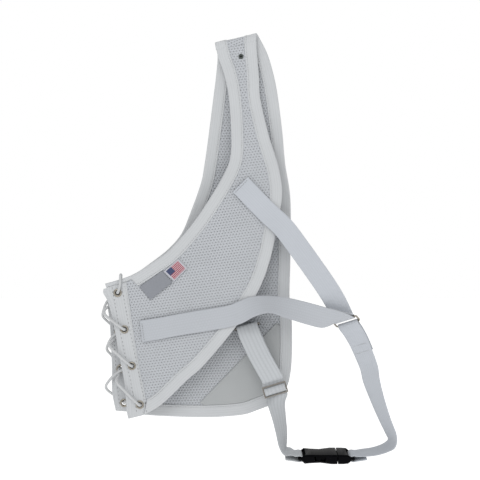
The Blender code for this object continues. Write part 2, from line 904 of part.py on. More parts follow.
def build_back():
    """Build the back panel, its bindings, its placket and its corner patch."""
    arm = back_edge(BACK_ARM, -0.05)
    border = back_edge(BACK_RIGHT + BACK_BOTTOM, -0.27)
    side = smooth_path([flat(row) for row in BACK_SIDE], 6)
    placket = smooth_path([flat(row) for row in BACK_PLACKET], 6)
    stop = placket[0].x + HEM_WIDTH
    armhole_tape("back_armhole_binding", on_back, arm, 1, FOLD_ALONG, stop, WHITE_TAPE)
    path = dense_first(border, FOLD_LENGTH, FOLD_STEPS, 2 * EDGE_POINTS - 8)
    end_way = (placket[-6] - placket[-1]).normalized()
    lip = lip_of(path, -1, start_way=-FOLD_ALONG, end_way=end_way)
    tape_on("back_edge_binding", on_back, path, lip, WHITE_TAPE)
    outer = evenly(side, PLACKET_POINTS)
    inner = evenly(placket, PLACKET_POINTS)
    band = tape_on("back_placket", on_back, outer, inner, WHITE_TAPE)

    tuck = TAPE_WIDTH - CLOTH_TUCK
    path = evenly(border, 6 * EDGE_POINTS)
    rim = lip_of(path, -1, start_way=-FOLD_ALONG, widths=[tuck] * len(path))
    corner = max(range(len(rim)), key=lambda index: rim[index].x - rim[index].y)
    right = dense_first(rim[: corner + 1], FOLD_LENGTH, FOLD_STEPS, EDGE_POINTS)
    bottom = list(reversed(rim[corner:]))
    left = panel_left(arm, 1, placket)
    left = [point for point in left if point.y > bottom[0].y]
    bottom = [point for point in bottom if point.x > left[-1].x + CLOTH_TUCK]
    left = left + [bottom[0] - Vector((CLOTH_TUCK, 0.0))]
    left = dense_first(left, FOLD_LENGTH, FOLD_STEPS, EDGE_POINTS)
    bottom = [left[-1]] + bottom
    along = lengths(bottom)
    grid = ruled_grid(left, right, BACK_COLUMNS)
    sag = [
        at_length(bottom, along, along[-1] * share) - point
        for share, point in zip(BACK_COLUMNS, grid[-1])
    ]
    for row, points in enumerate(grid):
        share = smooth((row / (len(grid) - 1) - 0.6) / 0.4)
        for column in range(1, len(sag) - 1):
            points[column] = points[column] + sag[column] * share
    half = CLOTH_THICKNESS / 2.0
    sheet_on("back_mesh", on_back, grid, -half, half, WHITE_CLOTH)

    lip = offset(evenly(border, 6 * EDGE_POINTS), -1, TAPE_WIDTH + GAP)
    limit = flat(PATCH_TOP_LEFT)
    hem = [point for point in lip if point.x > limit.x and point.y < limit.y]
    hem = evenly(hem, EDGE_POINTS // 2)
    step = Vector(PATCH_STEP)
    slope = [hem[0].lerp(hem[-1], index / (len(hem) - 1)) + step for index in range(len(hem))]
    grid = ruled_grid(slope, hem, LABEL_COLUMNS)
    low = CLOTH_THICKNESS / 2.0 + GAP
    sheet_on("corner_patch", on_back, grid, low, low + LABEL_THICKNESS, WHITE_CLOTH)
    return band


def build_label(name, corners, finish):
    """Lay a woven label on the front panel."""
    low = CLOTH_THICKNESS / 2.0 + GAP
    spots = [flat(row) for row in corners]
    left = [spots[0].lerp(spots[2], share) for share in LABEL_COLUMNS]
    right = [spots[1].lerp(spots[3], share) for share in LABEL_COLUMNS]
    grid = ruled_grid(left, right, LABEL_COLUMNS)
    sheet_on(name, on_front, grid, low, low + LABEL_THICKNESS, finish)


def build_eyelets(panel, front_band, back_band):
    """Cut the lacing holes and set an eyelet in each, and one to hang by."""
    sizes = (EYELET_RADIUS, EYELET_BORE, TAPE_THICKNESS / 2.0, EYELET_FLANGE)
    hole = EYELET_BORE + EYELET_WALL + GAP
    sides = (
        ("eyelet_front", on_front, FRONT_EYELETS, front_band),
        ("eyelet_back", on_back, BACK_EYELETS, back_band),
    )
    for stem, put, rows, band in sides:
        for number, row in enumerate(rows, start=1):
            point = flat(row)
            centre = put(point, 0.0)
            way = facing(put, point)
            name = f"{stem}_{number}"
            eyelet(name, centre, way, sizes, SILVER)
            cut_hole(band, name + "_hole", centre, hole, way)
    origin = on_front(Vector((0.0, 0.0)), 0.0)
    way = facing(on_front, Vector((0.0, 0.0)))
    sizes = (HANG_EYELET_RADIUS, HANG_EYELET_BORE, CLOTH_THICKNESS / 2.0, EYELET_FLANGE)
    eyelet("hang_eyelet", origin, way, sizes, DARK_METAL)
    hole = HANG_EYELET_BORE + EYELET_WALL + GAP
    cut_hole(panel, "hang_eyelet_hole", origin, hole, way)


# Lace points beside an eyelet: run and drop along the cloth, and rise off it.
EYELET_LEAD = ((0.0001, 0.0000, 0.0022), (0.0022, 0.0012, 0.0047))
# How far each strand keeps aside where the two cross between the panels.
LACE_APART = (0.0034, -0.0020)
# Lace points around an edge: run past it, drop along it, and rise off the cloth.
EDGE_TURN = (
    (0.0019, 0.0012, -0.0022),
    (0.0023, 0.0004, 0.0000),
    (0.0008, -0.0004, 0.0029),
    (-0.0028, -0.0020, 0.0038),
)


def crossing_points(start, start_put, away, edge_row, end, end_put):
    """Return lace points from one eyelet around the other panel's edge to the next."""
    head = flat(start)
    foot = flat(end)
    edge = flat(edge_row)
    points = []
    for run, drop, rise in EYELET_LEAD:
        points.append(start_put(head + Vector((-run, -drop)), away * rise))
    turn = [end_put(edge + Vector((-run, drop)), away * rise) for run, drop, rise in EDGE_TURN]
    apart = Vector((LACE_APART[0], 0.0, LACE_APART[1])) * away
    points.append(points[-1].lerp(turn[0], 0.5) + apart)
    points += turn
    for run, drop, rise in reversed(EYELET_LEAD):
        points.append(end_put(foot + Vector((-run, drop)), away * rise))
    return points


FRONT_CROSSINGS = ((-0.449, -0.592), (-0.431, -0.668), (-0.408, -0.750))
BACK_CROSSINGS = ((-0.461, -0.604), (-0.447, -0.683), (-0.450, -0.772))
LACE_TAIL = 0.0090
LACE_OVER_FRONT = ((-0.406, -0.527, 0.0037), (-0.406, -0.512, 0.0033), (-0.406, -0.5055, 0.0))
LACE_OVER_BACK = ((-0.410, -0.508, 0.0), (-0.412, -0.515, -0.0033), (-0.414, -0.530, -0.0037))


def build_lace():
    """Run the side lace through the eyelets, from one hidden end to the other."""
    strands = []
    plan = (
        (FRONT_EYELETS, on_front, BACK_EYELETS, on_back, -1),
        (BACK_EYELETS, on_back, FRONT_EYELETS, on_front, 1),
    )
    for near_rows, near_put, far_rows, far_put, away in plan:
        points = []
        here_rows, here_put, there_rows, there_put = near_rows, near_put, far_rows, far_put
        for level in range(3):
            edges = BACK_CROSSINGS if there_put is on_back else FRONT_CROSSINGS
            points += crossing_points(
                here_rows[level], here_put, away, edges[level], there_rows[level + 1], there_put
            )
            here_rows, there_rows = there_rows, here_rows
            here_put, there_put = there_put, here_put
            away = -away
        last = flat(here_rows[3])
        for run, drop, rise in EYELET_LEAD:
            points.append(here_put(last + Vector((run, drop)), away * rise))
        points.append(here_put(last + Vector((LACE_TAIL, 0.0)), away * LACE_SIDE))
        strands.append(points)
    over = []
    first = flat(FRONT_EYELETS[0])
    second = flat(BACK_EYELETS[0])
    for run, drop, rise in EYELET_LEAD:
        over.append(on_front(first + Vector((drop, run)), rise))
    over += [on_front(flat(row), row[2]) for row in LACE_OVER_FRONT]
    over += [on_back(flat(row), row[2]) for row in LACE_OVER_BACK]
    for run, drop, rise in reversed(EYELET_LEAD):
        over.append(on_back(second + Vector((drop, run)), -rise))
    route = list(reversed(strands[0])) + over + strands[1]
    path = []
    last = len(route) - 1
    for index in range(last):
        path.append(route[index])
        if (route[index + 1] - route[index]).length > 0.012 and len(path) < 76:
            before = route[max(index - 1, 0)]
            after = route[min(index + 2, last)]
            path.append(catmull(before, route[index], route[index + 1], after, 0.5))
    path.append(route[last])
    curve = bpy.data.curves.new("side_lace", "CURVE")
    curve.dimensions = "3D"
    curve.bevel_depth = LACE_DIAMETER / 2.0
    curve.bevel_resolution = 2
    curve.use_fill_caps = True
    spline = curve.splines.new("POLY")
    spline.points.add(len(path) - 1)
    for knot, point in zip(spline.points, path):
        knot.co = (*point, 1.0)
    new_object("side_lace", curve, WHITE_TAPE)


def build_straps():
    """Build the webbing, the wire rings, the slide and the buckle."""
    long_way = Vector(RING_LONG).normalized()
    short_way = Vector(RING_SHORT)
    short_way = (short_way - long_way * short_way.dot(long_way)).normalized()
    ring = place_of(RING_CENTRE)
    wire_ring(
        "junction_ring", ring, long_way, short_way, RING_HALF_LENGTH, RING_HALF_HEIGHT, SILVER
    )
    upper_bar = ring - short_way * RING_HALF_HEIGHT
    lower_bar = ring + short_way * RING_HALF_HEIGHT

    ribbon("upper_strap", strap_rows(UPPER_STRAP), 3, 2, WEBBING)

    waist = strap_rows(WAIST_STRAP)
    last = len(waist) - 1
    back = [behind(waist, last, FOLDED_LIFT), behind(waist, last - 1, FOLDED_LIFT)]
    ribbon("waist_strap", waist + turn_at_bar(upper_bar, long_way, waist[-1]) + back, 2, 3, WEBBING)

    buckle = place_of(BUCKLE_CENTRE)
    along = Vector((1.0, 0.0, 0.0))
    near = Vector((0.0, -math.cos(BUCKLE_ROLL), -math.sin(BUCKLE_ROLL)))
    over = near.cross(along) * -1.0
    over = over if over.z > 0.0 else -over
    plug_bar = buckle + along * (BUCKLE_LENGTH * BAR_SHARE)
    socket_bar = buckle - along * (BUCKLE_LENGTH * BAR_SHARE)
    radius = BAR_HALF + WEBBING_THICKNESS + 2.0 * GAP
    free = Vector((1.0, 0.0, 0.0))

    right = strap_rows(RIGHT_STRAP)
    back = [behind(right, index, FOLDED_LIFT) for index in (2, 1, 0)]
    rows = back + list(reversed(turn_at_bar(lower_bar, long_way, right[0]))) + right
    rows += [(plug_bar + along * 0.0050 + over * 0.0030, near, free)]
    rows += wrap_rows(plug_bar, near, along, over, radius, (80, 130, 180, 230, 280))
    rows += [
        (plug_bar + along * 0.0060 - over * 0.0026, near, free),
        (plug_bar + along * TAIL_LENGTH - over * 0.0010, near, free),
    ]
    ribbon("right_strap", rows, 3, 1, WEBBING)

    slide = place_of(SLIDE_CENTRE)
    slide_long = Vector((math.cos(SLIDE_TURN), 0.0, math.sin(SLIDE_TURN)))
    slide_up = Vector((-math.sin(SLIDE_TURN), 0.0, math.cos(SLIDE_TURN)))
    viewer = Vector((0.0, -1.0, 0.0))
    rows = [
        (socket_bar - along * TAIL_LENGTH - over * 0.0012, -near, free),
        (socket_bar - along * 0.0060 - over * 0.0026, -near, free),
    ]
    rows += wrap_rows(socket_bar, -near, -along, over, radius, (280, 230, 180, 130, 80))
    rows += [(socket_bar - along * 0.0050 + over * 0.0030, -near, free)]
    rows += strap_rows(LEFT_STRAP)
    weave = (
        (-0.0092, -0.0022),
        (-0.0060, -0.0022),
        (-0.0042, -0.0010),
        (-0.0037, 0.0009),
        (-0.0024, 0.0027),
        (0.0, 0.0036),
        (0.0024, 0.0027),
        (0.0037, 0.0009),
        (0.0042, -0.0010),
        (0.0060, -0.0022),
        (0.0092, -0.0020),
    )
    rows += [(slide + slide_up * up + viewer * out, slide_long, free) for up, out in weave]
    rows += strap_rows(FRONT_LOOP)
    anchor = place_of(ANCHOR_CENTRE)
    anchor_long = Vector(ANCHOR_LONG).normalized()
    anchor_short = Vector(ANCHOR_SHORT).normalized()
    anchor_up = anchor_long.cross(anchor_short)
    anchor_up = anchor_up if anchor_up.z > 0.0 else -anchor_up
    loop_bar = anchor - anchor_short * ANCHOR_HALF_HEIGHT
    rear_bar = anchor + anchor_short * ANCHOR_HALF_HEIGHT
    lead = anchor_up * WRAP_LEAD
    rows.append((loop_bar - anchor_short * WRAP_RADIUS - lead, anchor_long, free))
    rows += wrap_rows(
        loop_bar, anchor_long, -anchor_short, anchor_up, WRAP_RADIUS, (0, 60, 120, 180)
    )
    rows.append((loop_bar + anchor_short * WRAP_RADIUS - lead, anchor_long, free))
    rows += strap_rows(REAR_LOOP)
    rows += [
        (slide + slide_up * 0.0062 - viewer * 0.0038, slide_long, free),
        (slide + slide_up * 0.0022 - viewer * 0.0026, slide_long, free),
    ]
    rows += wrap_rows(slide, slide_long, -viewer, -slide_up, WRAP_RADIUS, (20, 70, 120, 170))
    ribbon("left_strap", rows, 2, 1, WEBBING)

    wire_ring(
        "anchor_ring",
        anchor,
        anchor_long,
        anchor_short,
        RING_HALF_LENGTH,
        ANCHOR_HALF_HEIGHT,
        DARK_METAL,
    )
    foot = Vector((rear_bar.x + 0.0040, rear_bar.z - TAB_LENGTH))
    low = on_back(foot, TAB_LIFT + WEBBING_THICKNESS / 2.0)
    rows = [
        (low, anchor_long, free),
        (low.lerp(rear_bar, 0.5) + Vector((0.0, 0.0012, 0.0)), anchor_long, free),
    ]
    rows += wrap_rows(
        rear_bar, anchor_long, anchor_short, anchor_up, WRAP_RADIUS, (-20, 30, 90, 150, 210)
    )
    rows += [(low.lerp(rear_bar, 0.55) - Vector((0.0, 0.0022, 0.0)), anchor_long, free)]
    ribbon("anchor_tab", rows, 2, 1, WEBBING)

    build_slide(slide, slide_long, slide_up, viewer)
    build_buckle(buckle, along, near, over)


def build_slide(centre, long_way, up_way, viewer):
    """Build the flat slide with three bars."""
    frame = frame_of(long_way, up_way, viewer)
    half_bar = SLIDE_BAR / 2.0
    plate = box(
        "strap_slide",
        centre,
        frame,
        (SLIDE_WIDTH / 2.0, SLIDE_PITCH + half_bar, half_bar),
        DARK_METAL,
    )
    for side in (-1, 1):
        cutter = box(
            f"slide_slot_{side + 2}",
            centre + up_way * (side * SLIDE_PITCH / 2.0),
            frame,
            (SLIDE_WIDTH / 2.0 - SLIDE_BAR, SLIDE_PITCH / 2.0 - half_bar, SLIDE_BAR * 2.0),
            DARK_METAL,
        )
        hide_cutter(plate, cutter)


def build_buckle(centre, along, near, over):
    """Build the two halves of the side-release buckle."""
    frame = frame_of(along, near, over)
    socket = loft("buckle_socket", centre, frame, SOCKET_SECTIONS, BLACK_PLASTIC)
    plug = loft("buckle_plug", centre, frame, PLUG_SECTIONS, BLACK_PLASTIC)

    def cutter(name, low, high, half_width, half_thickness, target):
        middle = centre + along * ((low + high) / 2.0)
        halves = ((high - low) / 2.0, half_width, half_thickness)
        hide_cutter(target, box(name, middle, frame, halves, BLACK_PLASTIC))

    mouth = SOCKET_SECTIONS[-1][0] * BUCKLE_LENGTH
    deep = SOCKET_CAVITY[0] * BUCKLE_LENGTH
    wide = SOCKET_CAVITY[1] * BUCKLE_HALF_WIDTH
    thick = SOCKET_CAVITY[2] * BUCKLE_HALF_THICKNESS
    cutter("socket_cavity", deep, mouth + SLOT_LENGTH, wide, thick, socket)
    low = SOCKET_WINDOW[0] * BUCKLE_LENGTH
    high = SOCKET_WINDOW[1] * BUCKLE_LENGTH
    rise = SOCKET_WINDOW[2] * BUCKLE_HALF_THICKNESS
    cutter("socket_window", low, high, 2.0 * BUCKLE_HALF_WIDTH, rise, socket)
    bar = BAR_SHARE * BUCKLE_LENGTH - BAR_HALF
    cutter("socket_slot", -bar, SLOT_LENGTH - bar, SLOT_HALF_WIDTH, TAPE_WIDTH, socket)
    cutter("plug_slot", bar - SLOT_LENGTH, bar, SLOT_HALF_WIDTH, TAPE_WIDTH, plug)

    tip = PRONG_REACH * BUCKLE_LENGTH
    root = PLUG_SECTIONS[1][0] * BUCKLE_LENGTH
    shoulder = tip + PRONG_WIDTH * 1.6
    inner = PRONG_OUTER - PRONG_WIDTH
    outline = (
        (root, PRONG_OUTER),
        (shoulder, PRONG_OUTER - 0.0012),
        (shoulder, PRONG_OUTER + 0.0004),
        (tip + 0.0012, PRONG_OUTER - 0.0010),
        (tip, inner + 0.0004),
        (shoulder, inner - 0.0012),
        (root - 0.0105, inner),
        (root - 0.0105, 0.0012),
        (tip + 0.0040, 0.0012),
    )
    mirrored = [(run, -across) for run, across in reversed(outline)]
    fork = extrude_outline(
        "plug_fork",
        centre,
        frame,
        list(outline) + mirrored,
        PRONG_HALF_THICKNESS,
        BLACK_PLASTIC,
    )
    fork.hide_render = True
    fork.display_type = "WIRE"
    modifier = plug.modifiers.new("fork", "BOOLEAN")
    modifier.operation = "UNION"
    modifier.solver = "EXACT"
    modifier.object = fork


def main():
    """Clear the scene and build the whole guard."""
    for thing in list(bpy.data.objects):
        bpy.data.objects.remove(thing, do_unlink=True)
    panel, front_band = build_front()
    back_band = build_back()
    build_label("side_label", SIDE_LABEL, GREY_SATIN)
    build_label("flag_label", FLAG_LABEL, STRIPED)
    build_eyelets(panel, front_band, back_band)
    build_lace()
    build_straps()


main()
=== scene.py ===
"""Dress the one-shoulder chest guard in perforated cloth, tape, webbing, lace and metal.

Every piece is laid with the same fold, spread and strap rows as its solid, in metres, in the
solids' frame: +X right as seen from the front, +Y away from the viewer and +Z up.
"""

from __future__ import annotations

import logging
import math
from dataclasses import dataclass
from enum import Enum
from typing import Callable, Sequence

import bmesh
import bpy
from mathutils import Matrix, Vector, noise

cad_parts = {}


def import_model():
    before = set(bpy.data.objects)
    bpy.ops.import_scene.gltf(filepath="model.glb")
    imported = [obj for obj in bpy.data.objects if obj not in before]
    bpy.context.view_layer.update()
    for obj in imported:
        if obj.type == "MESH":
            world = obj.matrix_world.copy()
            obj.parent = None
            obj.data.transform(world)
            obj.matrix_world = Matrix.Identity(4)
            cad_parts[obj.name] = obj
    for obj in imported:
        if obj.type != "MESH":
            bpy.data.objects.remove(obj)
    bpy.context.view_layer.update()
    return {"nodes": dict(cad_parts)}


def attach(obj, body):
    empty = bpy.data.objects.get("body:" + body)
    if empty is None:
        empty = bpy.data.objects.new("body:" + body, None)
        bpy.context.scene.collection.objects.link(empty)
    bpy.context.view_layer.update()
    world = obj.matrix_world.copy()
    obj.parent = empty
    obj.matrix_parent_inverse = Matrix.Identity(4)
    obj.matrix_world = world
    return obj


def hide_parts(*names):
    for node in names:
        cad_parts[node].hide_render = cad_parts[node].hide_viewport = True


LOG = logging.getLogger("chest_guard")

Place = Callable[[Vector, float], Vector]
Row = tuple[float, ...]

# Sizes that the share tables belong to.
GUARD_WIDTH = 0.350
GUARD_HEIGHT = 0.512
STRAP_DEPTH = 0.022

# Edges of the front panel: across, down.
FRONT_ARM: tuple[Row, ...] = (
    (-0.086, 0.030), (-0.078, -0.001), (-0.056, -0.045), (-0.041, -0.099),
    (-0.034, -0.171), (-0.035, -0.229), (-0.057, -0.273), (-0.115, -0.340),
    (-0.169, -0.393), (-0.238, -0.446), (-0.286, -0.471), (-0.368, -0.506),
    (-0.458, -0.526),
)
FRONT_SIDE: tuple[Row, ...] = (
    (-0.463, -0.538), (-0.464, -0.548), (-0.447, -0.572), (-0.425, -0.635),
    (-0.415, -0.679), (-0.399, -0.732), (-0.389, -0.785), (-0.385, -0.820),
    (-0.380, -0.837),
)
FRONT_PLACKET: tuple[Row, ...] = (
    (-0.386, -0.522), (-0.374, -0.577), (-0.363, -0.630), (-0.343, -0.715),
    (-0.323, -0.779), (-0.322, -0.805), (-0.328, -0.828),
)
FRONT_NECK: tuple[Row, ...] = (
    (0.054, 0.052), (0.053, 0.024), (0.061, -0.045), (0.066, -0.099),
    (0.095, -0.185), (0.115, -0.229), (0.132, -0.273), (0.138, -0.326),
    (0.118, -0.407), (0.101, -0.462), (0.077, -0.513), (0.047, -0.556),
    (-0.020, -0.627), (-0.122, -0.711), (-0.182, -0.748), (-0.263, -0.801),
    (-0.325, -0.827),
)

# Edges of the back panel: across, down.
BACK_ARM: tuple[Row, ...] = (
    (-0.089, 0.033), (-0.080, 0.004), (-0.085, -0.043), (-0.095, -0.098),
    (-0.111, -0.183), (-0.124, -0.245), (-0.138, -0.294), (-0.175, -0.364),
    (-0.204, -0.410), (-0.244, -0.443), (-0.292, -0.470), (-0.377, -0.510),
    (-0.460, -0.531),
)
BACK_SIDE: tuple[Row, ...] = (
    (-0.460, -0.544), (-0.455, -0.587), (-0.448, -0.632), (-0.442, -0.721),
    (-0.441, -0.780), (-0.429, -0.824),
)
BACK_PLACKET: tuple[Row, ...] = (
    (-0.397, -0.528), (-0.391, -0.587), (-0.386, -0.632), (-0.379, -0.721),
    (-0.378, -0.780), (-0.367, -0.828),
)
BACK_BORDER: tuple[Row, ...] = (
    (0.056, 0.054), (0.087, 0.013), (0.106, -0.027), (0.123, -0.080),
    (0.141, -0.173), (0.151, -0.245), (0.170, -0.332), (0.170, -0.465),
    (0.167, -0.557), (0.175, -0.613), (0.175, -0.702), (0.166, -0.754),
    (0.145, -0.788), (0.117, -0.807), (0.058, -0.824), (-0.002, -0.836),
    (-0.125, -0.841), (-0.278, -0.838), (-0.3625, -0.833),
)

# Lacing eyelets from the top down, and label corners along the top and bottom edges.
FRONT_EYELETS: tuple[Row, ...] = ((-0.415, -0.547), (-0.392, -0.631), (-0.367, -0.715), (-0.340, -0.804))
BACK_EYELETS: tuple[Row, ...] = ((-0.424, -0.557), (-0.419, -0.641), (-0.412, -0.726), (-0.400, -0.806))
SIDE_LABEL: tuple[Row, ...] = ((-0.342, -0.533), (-0.265, -0.496), (-0.304, -0.563), (-0.230, -0.522))
FLAG_LABEL: tuple[Row, ...] = ((-0.260, -0.498), (-0.211, -0.468), (-0.225, -0.521), (-0.180, -0.490))
PATCH_TOP_LEFT: Row = (-0.130, -0.625)

# Straps: across, down, toward the viewer, turn and lean of the width in degrees, and the
# share of the strap that is free of the cloth.
UPPER_STRAP: tuple[Row, ...] = (
    (-0.002, -0.298, 0.55, 45, 0, 0.0), (0.040, -0.328, 0.59, 46, 0, 0.0),
    (0.087, -0.361, 0.75, 46, 0, 0.6), (0.142, -0.397, 0.92, 42, 0, 1.0),
    (0.194, -0.444, 0.98, 36, 0, 1.0), (0.242, -0.490, 1.00, 33, 0, 1.0),
    (0.282, -0.529, 0.92, 33, 0, 1.0), (0.313, -0.563, 0.80, 30, 8, 1.0),
    (0.335, -0.590, 0.70, 24, 20, 1.0), (0.3475, -0.604, 0.62, 14, 34, 1.0),
)
WAIST_STRAP: tuple[Row, ...] = (
    (-0.335, -0.635, 0.55, 97, 0, 0.0), (-0.266, -0.627, 0.64, 98, 0, 0.0),
    (-0.195, -0.618, 0.68, 98, 0, 0.0), (-0.107, -0.608, 0.73, 98, 0, 0.0),
    (-0.040, -0.600, 0.77, 100, 0, 0.0), (-0.003, -0.591, 0.96, 106, -8, 0.6),
    (0.040, -0.577, 1.06, 106, -28, 1.0), (0.097, -0.572, 1.10, 92, -42, 1.0),
    (0.165, -0.582, 1.12, 78, -22, 1.0), (0.229, -0.594, 1.14, 74, -5, 1.0),
    (0.280, -0.603, 1.18, 66, 8, 1.0), (0.318, -0.606, 1.26, 42, 18, 1.0),
)
RIGHT_STRAP: tuple[Row, ...] = (
    (0.377, -0.638, 0.82, 26, 28, 1.0), (0.393, -0.658, 0.82, 25, 32, 1.0),
    (0.409, -0.683, 0.82, 22, 35, 1.0), (0.429, -0.719, 0.77, 16, 40, 1.0),
    (0.437, -0.748, 0.77, 15, 45, 1.0), (0.455, -0.787, 0.73, 19, 54, 1.0),
    (0.480, -0.833, 0.68, 21, 62, 1.0), (0.504, -0.872, 0.64, 8, 67, 1.0),
    (0.506, -0.892, 0.64, -45, 74, 1.0), (0.484, -0.903, 0.64, -60, 78, 1.0),
    (0.447, -0.911, 0.64, -72, 80, 1.0), (0.410, -0.914, 0.64, -84, 82, 1.0),
)
LEFT_STRAP: tuple[Row, ...] = (
    (0.168, -0.911, 0.64, 94, -82, 1.0), (0.149, -0.910, 0.61, 50, -76, 1.0),
    (0.141, -0.894, 0.59, 10, -66, 1.0), (0.137, -0.869, 0.55, 8, -58, 1.0),
    (0.129, -0.836, 0.45, 10, -50, 1.0), (0.121, -0.806, 0.38, 12, -36, 1.0),
)
FRONT_LOOP: tuple[Row, ...] = (
    (0.103, -0.742, 0.42, 18, 0, 1.0), (0.062, -0.692, 0.46, 18, 0, 1.0),
    (0.032, -0.648, 0.44, 15, 0, 1.0),
)
REAR_LOOP: tuple[Row, ...] = (
    (0.036, -0.650, 0.19, 15, 0, 1.0), (0.064, -0.694, 0.20, 18, 0, 1.0),
    (0.104, -0.745, 0.22, 18, 0, 1.0),
)
SLIDE_CENTRE: Row = (0.115, -0.771, 0.36)
SLIDE_TURN = math.radians(17.0)
# Where the looped strap passes the slide's bars: up, toward the viewer.
SLIDE_WEAVE: tuple[Row, ...] = (
    (-0.0092, -0.0022), (-0.0060, -0.0022), (-0.0042, -0.0010), (-0.0037, 0.0009),
    (-0.0024, 0.0027), (0.0, 0.0036), (0.0024, 0.0027), (0.0037, 0.0009),
    (0.0042, -0.0010), (0.0060, -0.0022), (0.0092, -0.0020),
)

# Lace route: points beside an eyelet, and around an edge, as run, drop and rise.
EYELET_LEAD: tuple[Row, ...] = ((0.0001, 0.0000, 0.0022), (0.0022, 0.0012, 0.0047))
EDGE_TURN: tuple[Row, ...] = (
    (0.0036, 0.0046, -0.0030), (0.0050, 0.0012, 0.0000),
    (0.0038, -0.0022, 0.0030), (-0.0002, -0.0056, 0.0042),
)
LACE_APART: Row = (0.0034, -0.0020)
FRONT_CROSSINGS: tuple[Row, ...] = ((-0.449, -0.592), (-0.431, -0.668), (-0.408, -0.750))
BACK_CROSSINGS: tuple[Row, ...] = ((-0.461, -0.604), (-0.447, -0.683), (-0.450, -0.772))
LACE_TAIL = 0.0090
LACE_SIDE = 0.0037
LACE_OVER_FRONT: tuple[Row, ...] = (
    (-0.406, -0.527, 0.0037), (-0.406, -0.512, 0.0033), (-0.406, -0.5055, 0.0),
)
LACE_OVER_BACK: tuple[Row, ...] = (
    (-0.410, -0.508, 0.0), (-0.412, -0.515, -0.0033), (-0.414, -0.530, -0.0037),
)

FREE = Vector((1.0, 0.0, 0.0))
TINY = 0.000001


def smooth(value: float) -> float:
    """Return the eased share for a value held between 0 and 1."""
    value = min(1.0, max(0.0, value))
    return value * value * (3.0 - 2.0 * value)


def flat(row: Sequence[float]) -> Vector:
    """Return the place in the picture plane of a row of shares."""
    return Vector((row[0] * GUARD_WIDTH, row[1] * GUARD_HEIGHT))


def place_of(row: Sequence[float]) -> Vector:
    """Return the place in space of a row of shares with its depth."""
    return Vector((row[0] * GUARD_WIDTH, -row[2] * STRAP_DEPTH, row[1] * GUARD_HEIGHT))


def smooth_path(points: Sequence[Vector], steps: int) -> list[Vector]:
    """Lead a smooth curve through points.

    Args:
        points: The points it passes.
        steps: How many stretches lie between two points.

    Returns:
        The points of the curve.
    """
    path = []
    last = len(points) - 1
    for index in range(last):
        before, start = points[max(index - 1, 0)], points[index]
        end, after = points[index + 1], points[min(index + 2, last)]
        for step in range(steps):
            share = step / steps
            square, cube = share ** 2, share ** 3
            path.append(0.5 * (
                2.0 * start + (end - before) * share
                + (2.0 * before - 5.0 * start + 4.0 * end - after) * square
                + (3.0 * start - before - 3.0 * end + after) * cube
            ))
    path.append(points[last].copy())
    return path


class Route:
    """A path whose points can be read at any distance along it."""

    def __init__(self, points: Sequence[Vector]) -> None:
        """Measure the distance along the points."""
        self.points = list(points)
        self.along = [0.0]
        for first, second in zip(self.points, self.points[1:]):
            self.along.append(self.along[-1] + (second - first).length)

    @property
    def length(self) -> float:
        """The whole length of the route."""
        return self.along[-1]

    def at(self, distance: float) -> Vector:
        """Return the point at a distance along the route.

        Args:
            distance: How far from the start, in metres.

        Returns:
            The point.
        """
        last = len(self.points) - 1
        low, high = 0, last
        while high - low > 1:
            middle = (low + high) // 2
            if self.along[middle] <= distance:
                low = middle
            else:
                high = middle
        step = self.along[high] - self.along[low]
        share = (distance - self.along[low]) / step if step else 0.0
        return self.points[low].lerp(self.points[high], min(1.0, max(0.0, share)))

    def evenly(self, count: int) -> list[Vector]:
        """Return count points spread evenly along the route."""
        return [self.at(self.length * index / (count - 1)) for index in range(count)]

    def sideways(self, distance: float, side: int) -> list[Vector]:
        """Return the points moved a distance to one side.

        Args:
            distance: How far they move.
            side: 1 for the left of the run and -1 for the right.

        Returns:
            The moved points.
        """
        moved = []
        last = len(self.points) - 1
        for index, point in enumerate(self.points):
            run = self.points[min(index + 1, last)] - self.points[max(index - 1, 0)]
            moved.append(point + Vector((-run.y, run.x)).normalized() * (side * distance))
        return moved


